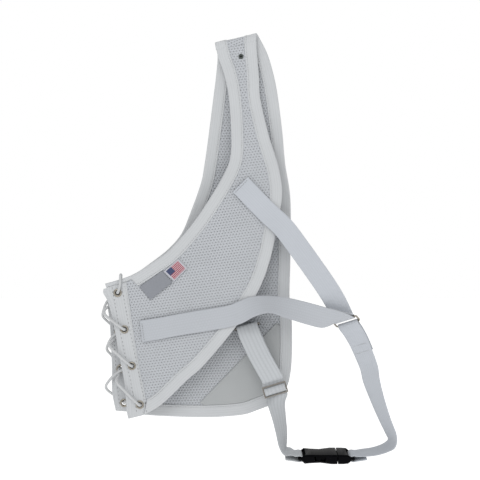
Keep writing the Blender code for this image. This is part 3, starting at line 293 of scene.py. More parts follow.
@dataclass(frozen=True)
class Form:
    """How the flat cut hangs: a fold at the shoulder and two layers that part below it."""

    fold_radius: float = 0.0030
    fold_drop: float = 0.0060
    front_spread: float = 0.0110
    back_spread: float = 0.0080
    spread_start: float = 0.020
    spread_run: float = 0.200
    squeeze_start: float = 0.090
    squeeze_run: float = 0.060
    squeeze_share: float = 0.40
    curl_start: float = 0.040
    curl_run: float = 0.022
    edge_curl: float = 0.0032
    gap: float = 0.0
    wave: float = 0.0008
    wave_length: float = 0.085

    @property
    def start(self) -> Vector:
        """The left end of the fold line."""
        return flat((-0.088, 0.032))

    @property
    def along(self) -> Vector:
        """The way along the fold line."""
        return (flat((0.055, 0.054)) - self.start).normalized()

    @property
    def up(self) -> Vector:
        """The way square to the fold line."""
        return Vector((-self.along.y, self.along.x))

    @property
    def end(self) -> float:
        """How far the back panel reaches over the fold, measured on the cloth."""
        return self.fold_radius * (math.pi - 1.0) + self.fold_drop

    def above(self, point: Vector) -> float:
        """Return how far a flat point lies above the fold line."""
        return (point - self.start).dot(self.up)

    def parted(self, point: Vector) -> float:
        """Return how far the panels have parted at a flat point, from 0 to 1."""
        open_share = smooth((-point.y - self.spread_start) / self.spread_run)
        squeeze = smooth((-point.x - self.squeeze_start) / self.squeeze_run)
        return open_share * (1.0 - self.squeeze_share * squeeze)

    def ripple(self, point: Vector, seed: float) -> float:
        """Return the soft wave of slack cloth at a flat point."""
        spot = Vector((point.x / self.wave_length, point.y / self.wave_length, seed))
        calm = smooth((-point.y - self.spread_start) / self.spread_run)
        return self.wave * calm * noise.noise(spot) * 2.0

    def front(self, point: Vector, lift: float) -> Vector:
        """Return the place of a flat point of the front panel, lifted toward the viewer."""
        depth = -self.fold_radius - self.front_spread * self.parted(point)
        return Vector((point.x, depth - lift + self.ripple(point, 0.0), point.y))

    def back(self, point: Vector, lift: float) -> Vector:
        """Return the place of a flat point of the back panel, rolled over the fold.

        Args:
            point: The flat point.
            lift: How far it lies toward the viewer.

        Returns:
            The place in the scene.
        """
        height = self.above(point)
        if height <= -self.fold_radius:
            curl = smooth((point.x - self.curl_start) / self.curl_run) * self.edge_curl
            depth = self.fold_radius + (self.back_spread + curl) * self.parted(point)
            return Vector((point.x, depth - lift + self.ripple(point, 7.0), point.y))
        base = self.start + self.along * (point - self.start).dot(self.along)
        radius = self.fold_radius - lift
        angle = min((height + self.fold_radius) / self.fold_radius, math.pi)
        drop = max(0.0, height + self.fold_radius - math.pi * self.fold_radius)
        spot = base + self.up * (radius * math.sin(angle) - self.fold_radius - drop)
        return Vector((spot.x, radius * math.cos(angle), spot.y))

    def front_edge(self, rows: Sequence[Row]) -> Route:
        """Return a front edge from just below the fold.

        Args:
            rows: The rows of shares.

        Returns:
            The edge as a route.
        """
        path = smooth_path([flat(row) for row in rows], 12)
        limit = -self.fold_radius - self.fold_drop - self.gap
        kept = [point for point in path if self.above(point) < limit]
        high, low = self.above(path[-len(kept) - 1]), self.above(kept[0])
        share = (high - limit) / (high - low)
        return Route([path[-len(kept) - 1].lerp(kept[0], share)] + kept)

    def back_edge(self, rows: Sequence[Row], lean: float) -> Route:
        """Return a back edge that starts on the far side of the fold."""
        points = [flat(row) for row in rows]
        over = self.up + self.along * lean
        crest = points[0] - self.up * self.above(points[0])
        ahead = [crest + over * self.end * share for share in (1.0, 0.5)]
        return Route(smooth_path(ahead + points, 12))


FORM = Form()


class Weave(Enum):
    """The surface that a cloth finish shows."""

    TAPE = "tape"
    WEBBING = "webbing"
    ELASTIC = "elastic"
    KNIT = "knit"
    SATIN = "satin"
    BRAID = "braid"


class Wiring:
    """Adds and joins the nodes of one node tree."""

    def __init__(self, tree: bpy.types.NodeTree) -> None:
        """Keep the tree that is wired."""
        self.tree = tree

    def add(self, kind: str, **values: object) -> bpy.types.Node:
        """Add a node and set its named properties."""
        node = self.tree.nodes.new(kind)
        for name, value in values.items():
            setattr(node, name, value)
        return node

    def feed(self, socket: bpy.types.NodeSocket, value: object) -> None:
        """Join a socket to another, or set it to a plain value."""
        if isinstance(value, bpy.types.NodeSocket):
            self.tree.links.new(value, socket)
        else:
            socket.default_value = value

    def math(self, operation: str, first: object, second: object = 0.0) -> bpy.types.NodeSocket:
        """Return the result of a math node."""
        node = self.add("ShaderNodeMath", operation=operation)
        self.feed(node.inputs[0], first)
        self.feed(node.inputs[1], second)
        return node.outputs[0]

    def mix(self, share: object, first: object, second: object) -> bpy.types.NodeSocket:
        """Return a colour between two others."""
        node = self.add("ShaderNodeMix", data_type="RGBA")
        self.feed(node.inputs["Factor"], share)
        self.feed(node.inputs[6], first)
        self.feed(node.inputs[7], second)
        return node.outputs[2]


def group_sockets(name: str, inputs: Sequence[tuple[str, str]], outputs: Sequence[str]) -> tuple:
    """Start a shader node group.

    Args:
        name: The group's name.
        inputs: Name and socket kind of each input.
        outputs: Names of its value outputs.

    Returns:
        The group, its wiring, its input node and its output node.
    """
    tree = bpy.data.node_groups.new(name, "ShaderNodeTree")
    for label, kind in inputs:
        tree.interface.new_socket(label, in_out="INPUT", socket_type=kind)
    for label in outputs:
        tree.interface.new_socket(label, in_out="OUTPUT", socket_type="NodeSocketFloat")
    wiring = Wiring(tree)
    return tree, wiring, wiring.add("NodeGroupInput"), wiring.add("NodeGroupOutput")


def build_weave_group() -> bpy.types.NodeTree:
    """Build the group that turns a thread spacing into ribs and crossing threads."""
    tree, wiring, entry, exit_node = group_sockets(
        "thread_weave",
        (("Vector", "NodeSocketVector"), ("Rib", "NodeSocketFloat"),
         ("Thread", "NodeSocketFloat"), ("Cross Share", "NodeSocketFloat")),
        ("Height", "Shade"),
    )
    split = wiring.add("ShaderNodeSeparateXYZ")
    wiring.feed(split.inputs[0], entry.outputs["Vector"])
    rib_turn = wiring.math("DIVIDE", split.outputs[0], entry.outputs["Rib"])
    cross_turn = wiring.math("DIVIDE", split.outputs[1], entry.outputs["Thread"])
    column = wiring.math("FLOOR", rib_turn)
    brick = wiring.math("ADD", cross_turn, wiring.math("MULTIPLY", column, 0.5))
    rib = wiring.math("ABSOLUTE", wiring.math("SINE", wiring.math("MULTIPLY", rib_turn, math.pi)))
    cross = wiring.math("ABSOLUTE", wiring.math("SINE", wiring.math("MULTIPLY", brick, math.pi)))
    crossing = wiring.math("MULTIPLY", cross, entry.outputs["Cross Share"])
    rest = wiring.math("SUBTRACT", 1.0, entry.outputs["Cross Share"])
    height = wiring.math("ADD", wiring.math("MULTIPLY", rib, rest), crossing)
    wiring.feed(exit_node.inputs["Height"], height)
    wiring.feed(exit_node.inputs["Shade"], wiring.math("SUBTRACT", 1.0, height))
    return tree


def build_drift_group() -> bpy.types.NodeTree:
    """Build the group that lets tone drift and collect softly over a piece."""
    tree, wiring, entry, exit_node = group_sockets(
        "tone_drift",
        (("Vector", "NodeSocketVector"), ("Patch Scale", "NodeSocketFloat"),
         ("Grain Scale", "NodeSocketFloat")),
        ("Drift", "Grain"),
    )
    for label, detail, scale in (("Drift", 3.0, "Patch Scale"), ("Grain", 6.0, "Grain Scale")):
        cloud = wiring.add("ShaderNodeTexNoise")
        wiring.feed(cloud.inputs["Vector"], entry.outputs["Vector"])
        wiring.feed(cloud.inputs["Scale"], entry.outputs[scale])
        wiring.feed(cloud.inputs["Detail"], detail)
        wiring.feed(exit_node.inputs[label], cloud.outputs["Fac"])
    return tree


@dataclass(frozen=True)
class Groups:
    """The shader groups that several finishes share."""

    weave: bpy.types.NodeTree
    drift: bpy.types.NodeTree


Colour = tuple[float, float, float]


def start_material(name: str) -> tuple[bpy.types.Material, Wiring, bpy.types.Node]:
    """Return a fresh material, its wiring and its Principled shader."""
    material = bpy.data.materials.new(name)
    material.use_nodes = True
    return material, Wiring(material.node_tree), material.node_tree.nodes["Principled BSDF"]


def solid(colour: Colour) -> tuple[float, float, float, float]:
    """Return a colour with full cover."""
    return (*colour, 1.0)


@dataclass(frozen=True)
class ClothFinish:
    """A woven or knitted finish, with its thread spacing in metres."""

    name: str
    slot: str
    weave: Weave
    colour: Colour
    # The darker colour: painted shade in the weave's hollows, and also the tone that drifts at random.
    shade: Colour
    rib: float
    thread: float
    cross_share: float
    relief: float
    roughness: float = 0.85
    sheen: float = 0.15

    def material(self, groups: Groups) -> bpy.types.Material:
        """Build the finish as a material.

        Args:
            groups: The shader groups that it places.

        Returns:
            The material.
        """
        material, wiring, shader = start_material(self.name)
        spot = wiring.add("ShaderNodeTexCoord")
        weave = wiring.add("ShaderNodeGroup", node_tree=groups.weave)
        wiring.feed(weave.inputs["Vector"], spot.outputs["UV"])
        wiring.feed(weave.inputs["Rib"], self.rib)
        wiring.feed(weave.inputs["Thread"], self.thread)
        wiring.feed(weave.inputs["Cross Share"], self.cross_share)
        drift = wiring.add("ShaderNodeGroup", node_tree=groups.drift)
        wiring.feed(drift.inputs["Vector"], spot.outputs["Object"])
        wiring.feed(drift.inputs["Patch Scale"], 22.0)
        wiring.feed(drift.inputs["Grain Scale"], 1400.0)
        # Painted shade: the hollows between threads are darkened toward the shade colour; drift and grain
        # add tone that varies at random.
        painted_hollow_shade = wiring.math("MULTIPLY", weave.outputs["Shade"], 0.55)
        soiled = wiring.math("MULTIPLY", drift.outputs["Drift"], 0.40)
        share = wiring.math("ADD", painted_hollow_shade, soiled)
        fuzz = wiring.math("MULTIPLY", drift.outputs["Grain"], 0.15)
        share = wiring.math("ADD", share, fuzz)
        wiring.feed(shader.inputs["Base Color"], wiring.mix(share, solid(self.colour), solid(self.shade)))
        bump = wiring.add("ShaderNodeBump")
        wiring.feed(bump.inputs["Strength"], 0.9)
        wiring.feed(bump.inputs["Distance"], self.relief)
        height = wiring.math("ADD", weave.outputs["Height"], fuzz)
        wiring.feed(bump.inputs["Height"], height)
        wiring.feed(shader.inputs["Normal"], bump.outputs["Normal"])
        shader.inputs["Roughness"].default_value = self.roughness
        shader.inputs["Sheen Weight"].default_value = self.sheen
        shader.inputs["Specular IOR Level"].default_value = 0.25
        return material


@dataclass(frozen=True)
class StripeFinish:
    """A woven label with plain stripes and one block of colour in its corner."""

    name: str = "woven_stripes"
    slot: str = "striped_label"
    ground: Colour = (0.47, 0.48, 0.52)
    stripe: Colour = (0.36, 0.018, 0.036)
    block: Colour = (0.022, 0.036, 0.11)
    stripes: float = 7.0
    border: float = 0.09
    gap_share: float = 0.38

    def material(self, groups: Groups) -> bpy.types.Material:
        """Build the finish as a material.

        Args:
            groups: The shader groups that it places.

        Returns:
            The material.
        """
        material, wiring, shader = start_material(self.name)
        spot = wiring.add("ShaderNodeUVMap", uv_map="Share")
        split = wiring.add("ShaderNodeSeparateXYZ")
        wiring.feed(split.inputs[0], spot.outputs["UV"])
        across, down = split.outputs[0], split.outputs[1]
        inside = 1.0
        for side in (across, down):
            for edge, way in ((self.border, "GREATER_THAN"), (1.0 - self.border, "LESS_THAN")):
                inside = wiring.math("MULTIPLY", inside, wiring.math(way, side, edge))
        wave = wiring.math("FRACT", wiring.math("MULTIPLY", down, self.stripes / (1.0 - 2.0 * self.border)))
        band = wiring.math("MULTIPLY", inside, wiring.math("GREATER_THAN", wave, self.gap_share))
        block = (wiring.math("LESS_THAN", across, 0.44), wiring.math("LESS_THAN", down, 0.54))
        corner = wiring.math("MULTIPLY", *block)
        corner = wiring.math("MULTIPLY", corner, inside)
        colour = wiring.mix(band, solid(self.ground), solid(self.stripe))
        colour = wiring.mix(corner, colour, solid(self.block))
        metres = wiring.add("ShaderNodeTexCoord")
        weave = wiring.add("ShaderNodeGroup", node_tree=groups.weave)
        wiring.feed(weave.inputs["Vector"], metres.outputs["UV"])
        wiring.feed(weave.inputs["Rib"], 0.0005)
        wiring.feed(weave.inputs["Thread"], 0.0006)
        wiring.feed(weave.inputs["Cross Share"], 0.5)
        shadow = wiring.math("MULTIPLY", weave.outputs["Shade"], 0.35)
        colour = wiring.mix(shadow, colour, solid((0.10, 0.10, 0.12)))
        wiring.feed(shader.inputs["Base Color"], colour)
        bump = wiring.add("ShaderNodeBump")
        wiring.feed(bump.inputs["Distance"], 0.00010)
        wiring.feed(bump.inputs["Height"], weave.outputs["Height"])
        wiring.feed(shader.inputs["Normal"], bump.outputs["Normal"])
        shader.inputs["Roughness"].default_value = 0.55
        return material


@dataclass(frozen=True)
class HardFinish:
    """A metal or plastic finish with soft smudges."""

    name: str
    slot: str
    colour: Colour
    metallic: float
    roughness: float
    smudge: float
    grain: float = 900.0
    relief: float = 0.00002
    gloss: float = 0.5

    def material(self, groups: Groups) -> bpy.types.Material:
        """Build the finish as a material.

        Args:
            groups: The shader groups that it places.

        Returns:
            The material.
        """
        material, wiring, shader = start_material(self.name)
        spot = wiring.add("ShaderNodeTexCoord")
        drift = wiring.add("ShaderNodeGroup", node_tree=groups.drift)
        wiring.feed(drift.inputs["Vector"], spot.outputs["Object"])
        wiring.feed(drift.inputs["Patch Scale"], 180.0)
        wiring.feed(drift.inputs["Grain Scale"], self.grain)
        dull = tuple(channel * 0.72 for channel in self.colour)
        tone = wiring.mix(drift.outputs["Drift"], solid(self.colour), solid(dull))
        wiring.feed(shader.inputs["Base Color"], tone)
        spread = wiring.math("MULTIPLY", drift.outputs["Drift"], self.smudge)
        wiring.feed(shader.inputs["Roughness"], wiring.math("ADD", spread, self.roughness))
        bump = wiring.add("ShaderNodeBump")
        wiring.feed(bump.inputs["Distance"], self.relief)
        wiring.feed(bump.inputs["Height"], drift.outputs["Grain"])
        wiring.feed(shader.inputs["Normal"], bump.outputs["Normal"])
        shader.inputs["Metallic"].default_value = self.metallic
        shader.inputs["Specular IOR Level"].default_value = self.gloss
        return material


Finish = ClothFinish | StripeFinish | HardFinish

PERFORATED = ClothFinish(
    "perforated_knit", "mesh_cloth", Weave.KNIT, (0.470, 0.488, 0.515), (0.370, 0.385, 0.405),
    rib=0.0009, thread=0.0009, cross_share=0.5, relief=0.00006,
)
# Painted shade: a dark sheet laid behind the perforated panels, standing for the shade seen through their
# holes.
HOLE_SHADE = ClothFinish(
    "painted_hole_shade", "mesh_cloth", Weave.KNIT, (0.330, 0.338, 0.352), (0.250, 0.256, 0.268),
    rib=0.0006, thread=0.0006, cross_share=0.5, relief=0.00004,
)
TAPE = ClothFinish(
    "bound_tape", "tape", Weave.TAPE, (0.515, 0.530, 0.545), (0.415, 0.427, 0.437),
    rib=0.0011, thread=0.0006, cross_share=0.35, relief=0.00005,
)
WEBBING = ClothFinish(
    "smooth_webbing", "webbing", Weave.WEBBING, (0.475, 0.500, 0.540), (0.385, 0.405, 0.435),
    rib=0.0015, thread=0.0011, cross_share=0.5, relief=0.00007,
)
WAFFLE = ClothFinish(
    "waffle_webbing", "webbing", Weave.WEBBING, (0.435, 0.455, 0.487), (0.360, 0.376, 0.400),
    rib=0.0018, thread=0.0017, cross_share=0.5, relief=0.00009,
)
ELASTIC = ClothFinish(
    "ribbed_elastic", "webbing", Weave.ELASTIC, (0.475, 0.495, 0.515), (0.360, 0.375, 0.390),
    rib=0.0027, thread=0.0009, cross_share=0.22, relief=0.00014,
)
PLAIN_KNIT = ClothFinish(
    "plain_knit", "plain_cloth", Weave.KNIT, (0.385, 0.400, 0.405), (0.315, 0.325, 0.330),
    rib=0.0007, thread=0.0007, cross_share=0.5, relief=0.00005,
)
LACE_BRAID = ClothFinish(
    "lace_braid", "lace", Weave.BRAID, (0.530, 0.540, 0.550), (0.410, 0.420, 0.425),
    rib=0.0013, thread=0.0011, cross_share=0.5, relief=0.00008,
)
SATIN = ClothFinish(
    "grey_satin", "grey_satin", Weave.SATIN, (0.245, 0.257, 0.284), (0.178, 0.187, 0.208),
    rib=0.0004, thread=0.0005, cross_share=0.4, relief=0.00003, roughness=0.42,
)
THREAD = ClothFinish(
    "sewing_thread", "tape", Weave.BRAID, (0.470, 0.480, 0.490), (0.330, 0.340, 0.345),
    rib=0.0004, thread=0.0004, cross_share=0.5, relief=0.00003,
)
# Painted shade: a dark thread that stands for the shade in the stitch dimples.
SHADE_THREAD = ClothFinish(
    "painted_shade_thread", "tape", Weave.BRAID, (0.250, 0.255, 0.258), (0.190, 0.195, 0.198),
    rib=0.0004, thread=0.0004, cross_share=0.5, relief=0.00003,
)
NICKEL = HardFinish("polished_nickel", "silver", (0.37, 0.34, 0.29), 1.0, 0.28, 0.18)
DULL_WIRE = HardFinish("dull_wire", "dark_wire", (0.28, 0.26, 0.235), 1.0, 0.34, 0.18)
DARK_DOT = HardFinish("darkened_metal", "dark_wire", (0.085, 0.095, 0.090), 1.0, 0.32, 0.20)
BLACK = HardFinish("moulded_black", "black_plastic", (0.0014, 0.0014, 0.0022), 0.0, 0.18, 0.12, gloss=0.035)


class Workshop:
    """Makes materials once and turns finished meshes into pieces of the guard."""

    def __init__(self) -> None:
        """Build the shared groups."""
        self.groups = Groups(build_weave_group(), build_drift_group())
        self.materials: dict[str, bpy.types.Material] = {}

    def dress(self, finish: Finish) -> bpy.types.Material:
        """Return the material of a finish, built on its first use."""
        if finish.name not in self.materials:
            self.materials[finish.name] = finish.material(self.groups)
        return self.materials[finish.name]

    def keep(
        self,
        name: str,
        bm: bmesh.types.BMesh,
        finish: Finish,
        nodes: Sequence[str] = (),
        sharp: float = 50.0,
    ) -> bpy.types.Object:
        """Turn a bmesh into a piece that rides on the guard.

        Args:
            name: The piece's name.
            bm: Its mesh, which is freed.
            finish: What it is made of.
            nodes: The solids that it stands for.
            sharp: The angle in degrees past which an edge stays sharp.

        Returns:
            The new object.
        """
        bmesh.ops.recalc_face_normals(bm, faces=bm.faces)
        mesh = bpy.data.meshes.new(name)
        bm.to_mesh(mesh)
        bm.free()
        mesh.materials.append(self.dress(finish))
        mesh.shade_smooth()
        mesh.set_sharp_from_angle(angle=math.radians(sharp))
        piece = bpy.data.objects.new("fine_" + name if nodes else name, mesh)
        bpy.context.scene.collection.objects.link(piece)
        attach(piece, "root")
        if nodes:
            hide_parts(*nodes)
        LOG.info("%s: %d faces", name, len(mesh.polygons))
        return piece


def wrap_grid(
    around: int,
    along: int,
    place: Callable[[int, int], Vector],
    metres: tuple[float, float],
    closed: bool = False,
) -> bmesh.types.BMesh:
    """Wrap a grid into a tube.

    Args:
        around: How many faces lie around the tube.
        along: How many faces lie along it.
        place: Returns the place of a vertex by its number around and along.
        metres: The length around and along, for the weave.
        closed: Whether the tube's two ends meet.

    Returns:
        The tube as a bmesh.
    """
    bm = bmesh.new()
    layer = bm.loops.layers.uv.new("Metres")
    bmesh.ops.create_grid(bm, x_segments=around, y_segments=along, size=0.5)
    for face in bm.faces:
        for loop in face.loops:
            spot = loop.vert.co
            loop[layer].uv = ((spot.x + 0.5) * metres[0], (spot.y + 0.5) * metres[1])
    for vert in bm.verts:
        number = round((vert.co.x + 0.5) * around) % around
        station = round((vert.co.y + 0.5) * along)
        vert.co = place(number, station % along if closed else station)
    bmesh.ops.remove_doubles(bm, verts=bm.verts, dist=TINY)
    if not closed:
        bmesh.ops.holes_fill(bm, edges=[edge for edge in bm.edges if edge.is_boundary], sides=0)
    return bm


@dataclass
class Seam:
    """A row of stitches laid along a flat route on a panel."""

    name: str
    put: Place
    route: Route
    lifts: tuple[float, ...]
    pitch: float = 0.0030
    stitch: float = 0.0021
    thread: float = 0.00034
    finish: ClothFinish = THREAD

    def build(self, shop: Workshop) -> None:
        """Sew the row on each face that its lifts name.

        Args:
            shop: Makes the piece.
        """
        bm = bmesh.new()
        layer = bm.loops.layers.uv.new("Metres")
        count = int(self.route.length / self.pitch)
        for lift in self.lifts:
            for number in range(count):
                middle = (number + 0.5) * self.pitch
                start = self.put(self.route.at(middle - self.stitch / 2.0), lift)
                end = self.put(self.route.at(middle + self.stitch / 2.0), lift)
                turn = Vector((0.0, 0.0, 1.0)).rotation_difference(end - start)
                size = Matrix.Diagonal((self.thread, self.thread, self.stitch / 2.0, 1.0))
                place = Matrix.Translation((start + end) / 2.0) @ turn.to_matrix().to_4x4() @ size
                bmesh.ops.create_icosphere(bm, subdivisions=1, radius=1.0, matrix=place)
        for face in bm.faces:
            for loop in face.loops:
                loop[layer].uv = (loop.vert.co.x, loop.vert.co.z)
        shop.keep(self.name, bm, self.finish, sharp=80.0)


# Half section of a folded tape: share across from the outer edge, share of its half thickness.
TAPE_SECTION: tuple[Row, ...] = (
    (0.000, 0.00), (0.012, 0.38), (0.040, 0.68), (0.090, 0.92), (0.160, 1.00),
    (0.320, 0.97), (0.500, 0.95), (0.660, 0.98), (0.760, 0.98), (0.815, 0.90),
    (0.850, 0.74), (0.885, 0.90), (0.930, 0.98), (0.975, 0.90), (1.000, 0.62),
)
PLACKET_SECTION: tuple[Row, ...] = (
    (0.000, 0.00), (0.006, 0.38), (0.020, 0.68), (0.045, 0.94), (0.075, 0.98),
    (0.105, 0.80), (0.135, 0.98), (0.300, 1.00), (0.450, 0.97), (0.600, 0.99),
    (0.750, 0.97), (0.860, 1.00), (0.905, 0.98), (0.930, 0.80), (0.955, 0.98),
    (0.985, 0.92), (1.000, 0.66),
)


@dataclass
class Band:
    """A tape folded over an edge, between an outer route and an inner one."""

    name: str
    put: Place
    outer: list[Vector]
    inner: list[Vector]
    section: tuple[Row, ...] = TAPE_SECTION
    half: float = 0.00145
    slack: float = 0.00035
    seam_share: float = 0.850

    def build(self, shop: Workshop) -> bpy.types.Object:
        """Fold the tape and sew it.

        Args:
            shop: Makes the pieces.

        Returns:
            The tape.
        """
        shares = [(share, height) for share, height in reversed(self.section)]
        ring = shares + [(share, -height) for share, height in self.section[1:]]
        stations = len(self.outer) - 1

        def place(number: int, station: int) -> Vector:
            """Return the place of one point of the section at one station."""
            share, height = ring[number]
            point = self.outer[station].lerp(self.inner[station], share)
            swell = 1.0 + 0.10 * noise.noise(Vector((point.x * 60.0, point.y * 60.0, share * 3.0)))
            sway = self.slack * noise.noise(Vector((point.x * 35.0, point.y * 35.0, 4.0)))
            return self.put(point, height * self.half * swell + sway)

        length = Route(self.outer).length
        width = (self.outer[stations // 2] - self.inner[stations // 2]).length
        bm = wrap_grid(len(ring), stations, place, (2.0 * width, length))
        tape = shop.keep(self.name, bm, TAPE, [self.name])
        line = [first.lerp(second, self.seam_share) for first, second in zip(self.outer, self.inner)]
        top = self.half * 0.86
        Seam(self.name + "_stitches", self.put, Route(line), (top, -top)).build(shop)
        return tape


def slanted(
    route: Route, side: int, width: float, start: Vector | None, end: Vector | None, blend: float = 0.040,
) -> list[Vector]:
    """Return the inner edge of a tape whose ends are cut along given ways.

    Args:
        route: The outer edge.
        side: Which side the tape lies on.
        width: The tape's width.
        start: The way of the first end's cut.
        end: The way of the last end's cut.
        blend: The distance over which a cut turns square to the edge.

    Returns:
        The inner edge's points.
    """
    lip = []
    square = route.sideways(1.0, side)
    for index, point in enumerate(route.points):
        normal = square[index] - point
        way = normal
        after = route.along[index] / blend
        before = (route.length - route.along[index]) / blend
        if start is not None and after < 1.0:
            way = start.lerp(normal, after).normalized()
        if end is not None and before < 1.0:
            way = end.lerp(normal, before).normalized()
        lip.append(point + way * (width / way.dot(normal)))
    return lip


@dataclass
class Perforated:
    """A panel of cloth with staggered holes, cut to a flat outline."""

    name: str
    put: Place
    outline: list[Vector]
    tilt: float
    limit: float
    pitch: float = 0.0036
    hole: float = 0.00088
    # Pitch and thickness of the dark sheet of painted shade behind the holes.
    shade_sheet_pitch: float = 0.0030
    shade_sheet_thickness: float = 0.00016
    stretch: tuple[float, float] = (1.12, 0.86)
    thickness: float = 0.0008
    openings: tuple[tuple[Vector, float], ...] = ()
    opening_sides: int = 8
    opening_reach: float = 0.0060

    def inside(self, point: Vector) -> bool:
        """Return whether a flat point lies within the outline.

        Args:
            point: The flat point.

        Returns:
            True for a point inside.
        """
        within = False
        for first, second in zip(self.outline, self.outline[1:] + self.outline[:1]):
            if (first.y > point.y) != (second.y > point.y):
                share = (point.y - first.y) / (second.y - first.y)
                if point.x < first.x + (second.x - first.x) * share:
                    within = not within
        return within

    def lattice(self, pitch: float) -> bmesh.types.BMesh:
        """Return flat cloth of staggered threads, trimmed to the outline.

        Args:
            pitch: The distance between neighbouring threads.

        Returns:
            The flat cloth as a bmesh of triangles.
        """
        runs = [point.x for point in self.outline]
        drops = [point.y for point in self.outline]
        low, high = Vector((min(runs), min(drops))), Vector((max(runs), max(drops)))
        middle = (low + high) / 2.0
        reach = (high - low).length / 2.0
        row_step = pitch * math.sqrt(0.75)
        across = 2 * math.ceil(reach / pitch)
        down = 2 * math.ceil(reach / row_step)
        turn = Matrix.Rotation(self.tilt, 2)
        bm = bmesh.new()
        bmesh.ops.create_grid(bm, x_segments=across, y_segments=down, size=0.5)
        for vert in bm.verts:
            column = round((vert.co.x + 0.5) * across)
            row = round((vert.co.y + 0.5) * down)
            shift = 0.5 * (row % 2)
            spot = Vector(((column - across / 2 + shift) * pitch, (row - down / 2) * row_step))
            spot = middle + turn @ spot
            vert.co = (spot.x, spot.y, 0.0)
        outside = [vert for vert in bm.verts if not self.inside(vert.co.to_2d())]
        bmesh.ops.delete(bm, geom=outside, context="VERTS")
        bmesh.ops.triangulate(bm, faces=bm.faces, quad_method="SHORT_EDGE")
        loose = [vert for vert in bm.verts if not vert.link_faces]
        bmesh.ops.delete(bm, geom=loose, context="VERTS")
        return bm

    def trim(self, bm: bmesh.types.BMesh) -> None:
        """Cut flat cloth straight along its end at the shoulder fold."""
        bmesh.ops.bisect_plane(
            bm, geom=[*bm.verts, *bm.edges, *bm.faces], dist=TINY, clear_outer=True,
            plane_co=(FORM.start + FORM.up * self.limit).to_3d(), plane_no=FORM.up.to_3d(),
        )

    def pierce(self, bm: bmesh.types.BMesh) -> None:
        """Cut an opening in flat cloth at every eyelet that is set in it.

        Args:
            bm: The flat cloth, which is changed.
        """
        turns = [math.tau * step / self.opening_sides for step in range(self.opening_sides)]
        ways = [Vector((math.cos(turn), math.sin(turn))) for turn in turns]
        for spot, radius in self.openings:
            reach = radius + self.opening_reach
            near = [face for face in bm.faces if (face.calc_center_median().to_2d() - spot).length < reach]
            edges = {edge for face in near for edge in face.edges}
            verts = {vert for face in near for vert in face.verts}
            geom = [*verts, *edges, *near]
            for way in ways:
                cut = bmesh.ops.bisect_plane(
                    bm, geom=geom, dist=TINY, plane_co=(spot + way * radius).to_3d(), plane_no=way.to_3d(),
                )
                geom = cut["geom"]
            gone = [
                item for item in geom
                if isinstance(item, bmesh.types.BMFace)
                and max((item.calc_center_median().to_2d() - spot).dot(way) for way in ways) < radius
            ]
            bmesh.ops.delete(bm, geom=gone, context="FACES")

    def lay_shade_sheet(self, shop: Workshop) -> bpy.types.Object:
        """Lay a fine dark sheet behind the holes, painted shade that shows grey inside them.

        Args:
            shop: Makes the piece.

        Returns:
            The sheet of painted shade.
        """
        bm = self.lattice(self.shade_sheet_pitch)
        rolled = [edge for edge in bm.edges if FORM.above(edge.verts[0].co.to_2d()) > -0.008]
        bmesh.ops.subdivide_edges(bm, edges=rolled, cuts=1, use_grid_fill=True)
        bmesh.ops.triangulate(bm, faces=bm.faces)
        self.trim(bm)
        self.pierce(bm)
        layer = bm.loops.layers.uv.new("Metres")
        for face in bm.faces:
            for loop in face.loops:
                loop[layer].uv = loop.vert.co.to_2d()
        for vert in bm.verts:
            vert.co = self.put(vert.co.to_2d(), 0.0)
        # The sheet is painted shade: it darkens what shows through the holes.
        ground = shop.keep(self.name + "_ground", bm, HOLE_SHADE, sharp=180.0)
        wall = ground.modifiers.new("thickness", "SOLIDIFY")
        wall.thickness = self.shade_sheet_thickness
        wall.offset = 0.0
        return ground

    def build(self, shop: Workshop) -> bpy.types.Object:
        """Punch the cloth and lay it on its place.

        Args:
            shop: Makes the piece.

        Returns:
            The panel.
        """
        bm = self.lattice(self.pitch)
        layer = bm.loops.layers.uv.new("Metres")
        turn = Matrix.Rotation(self.tilt, 2)
        inner = [vert for vert in bm.verts if not vert.is_boundary]
        punched = bmesh.ops.bevel(
            bm, geom=inner, offset=self.hole, offset_type="OFFSET", segments=1, profile=0.5,
            affect="VERTICES", material=-1, clamp_overlap=True,
        )
        for face in punched["faces"]:
            centre = face.calc_center_median()
            for vert in face.verts:
                away = turn.transposed() @ (vert.co - centre).to_2d()
                away = turn @ Vector((away.x * self.stretch[0], away.y * self.stretch[1]))
                vert.co = centre + away.to_3d()
        bmesh.ops.delete(bm, geom=punched["faces"], context="FACES_ONLY")
        self.trim(bm)
        self.pierce(bm)
        for face in bm.faces:
            for loop in face.loops:
                loop[layer].uv = loop.vert.co.to_2d()
        for vert in bm.verts:
            vert.co = self.put(vert.co.to_2d(), 0.0)
        panel = shop.keep(self.name, bm, PERFORATED, [self.name], sharp=180.0)
        wall = panel.modifiers.new("thickness", "SOLIDIFY")
        wall.thickness = self.thickness
        wall.offset = 0.0
        cut = self.outline[1:-1]
        flat_size = cut_box(cut, Vector((0.0, 1.0)))
        # The dark sheet behind the holes is painted shade.
        ground = self.lay_shade_sheet(shop)
        cut_area(cut)
        return panel


def cut_area(outline: Sequence[Vector]) -> float:
    """Return the area inside a flat outline."""
    pairs = zip(outline, [*outline[1:], outline[0]])
    return abs(sum(first.cross(second) for first, second in pairs)) / 2.0


def cut_box(outline: Sequence[Vector], way: Vector) -> tuple[float, float]:
    """Return the width and length of the box around a flat outline.

    Args:
        outline: The cut's outline.
        way: The way that the box's length lies.

    Returns:
        Its width and its length.
    """
    long_way = way.normalized()
    wide_way = Vector((-long_way.y, long_way.x))
    runs = [point.dot(long_way) for point in outline]
    spans = [point.dot(wide_way) for point in outline]
    return max(spans) - min(spans), max(runs) - min(runs)


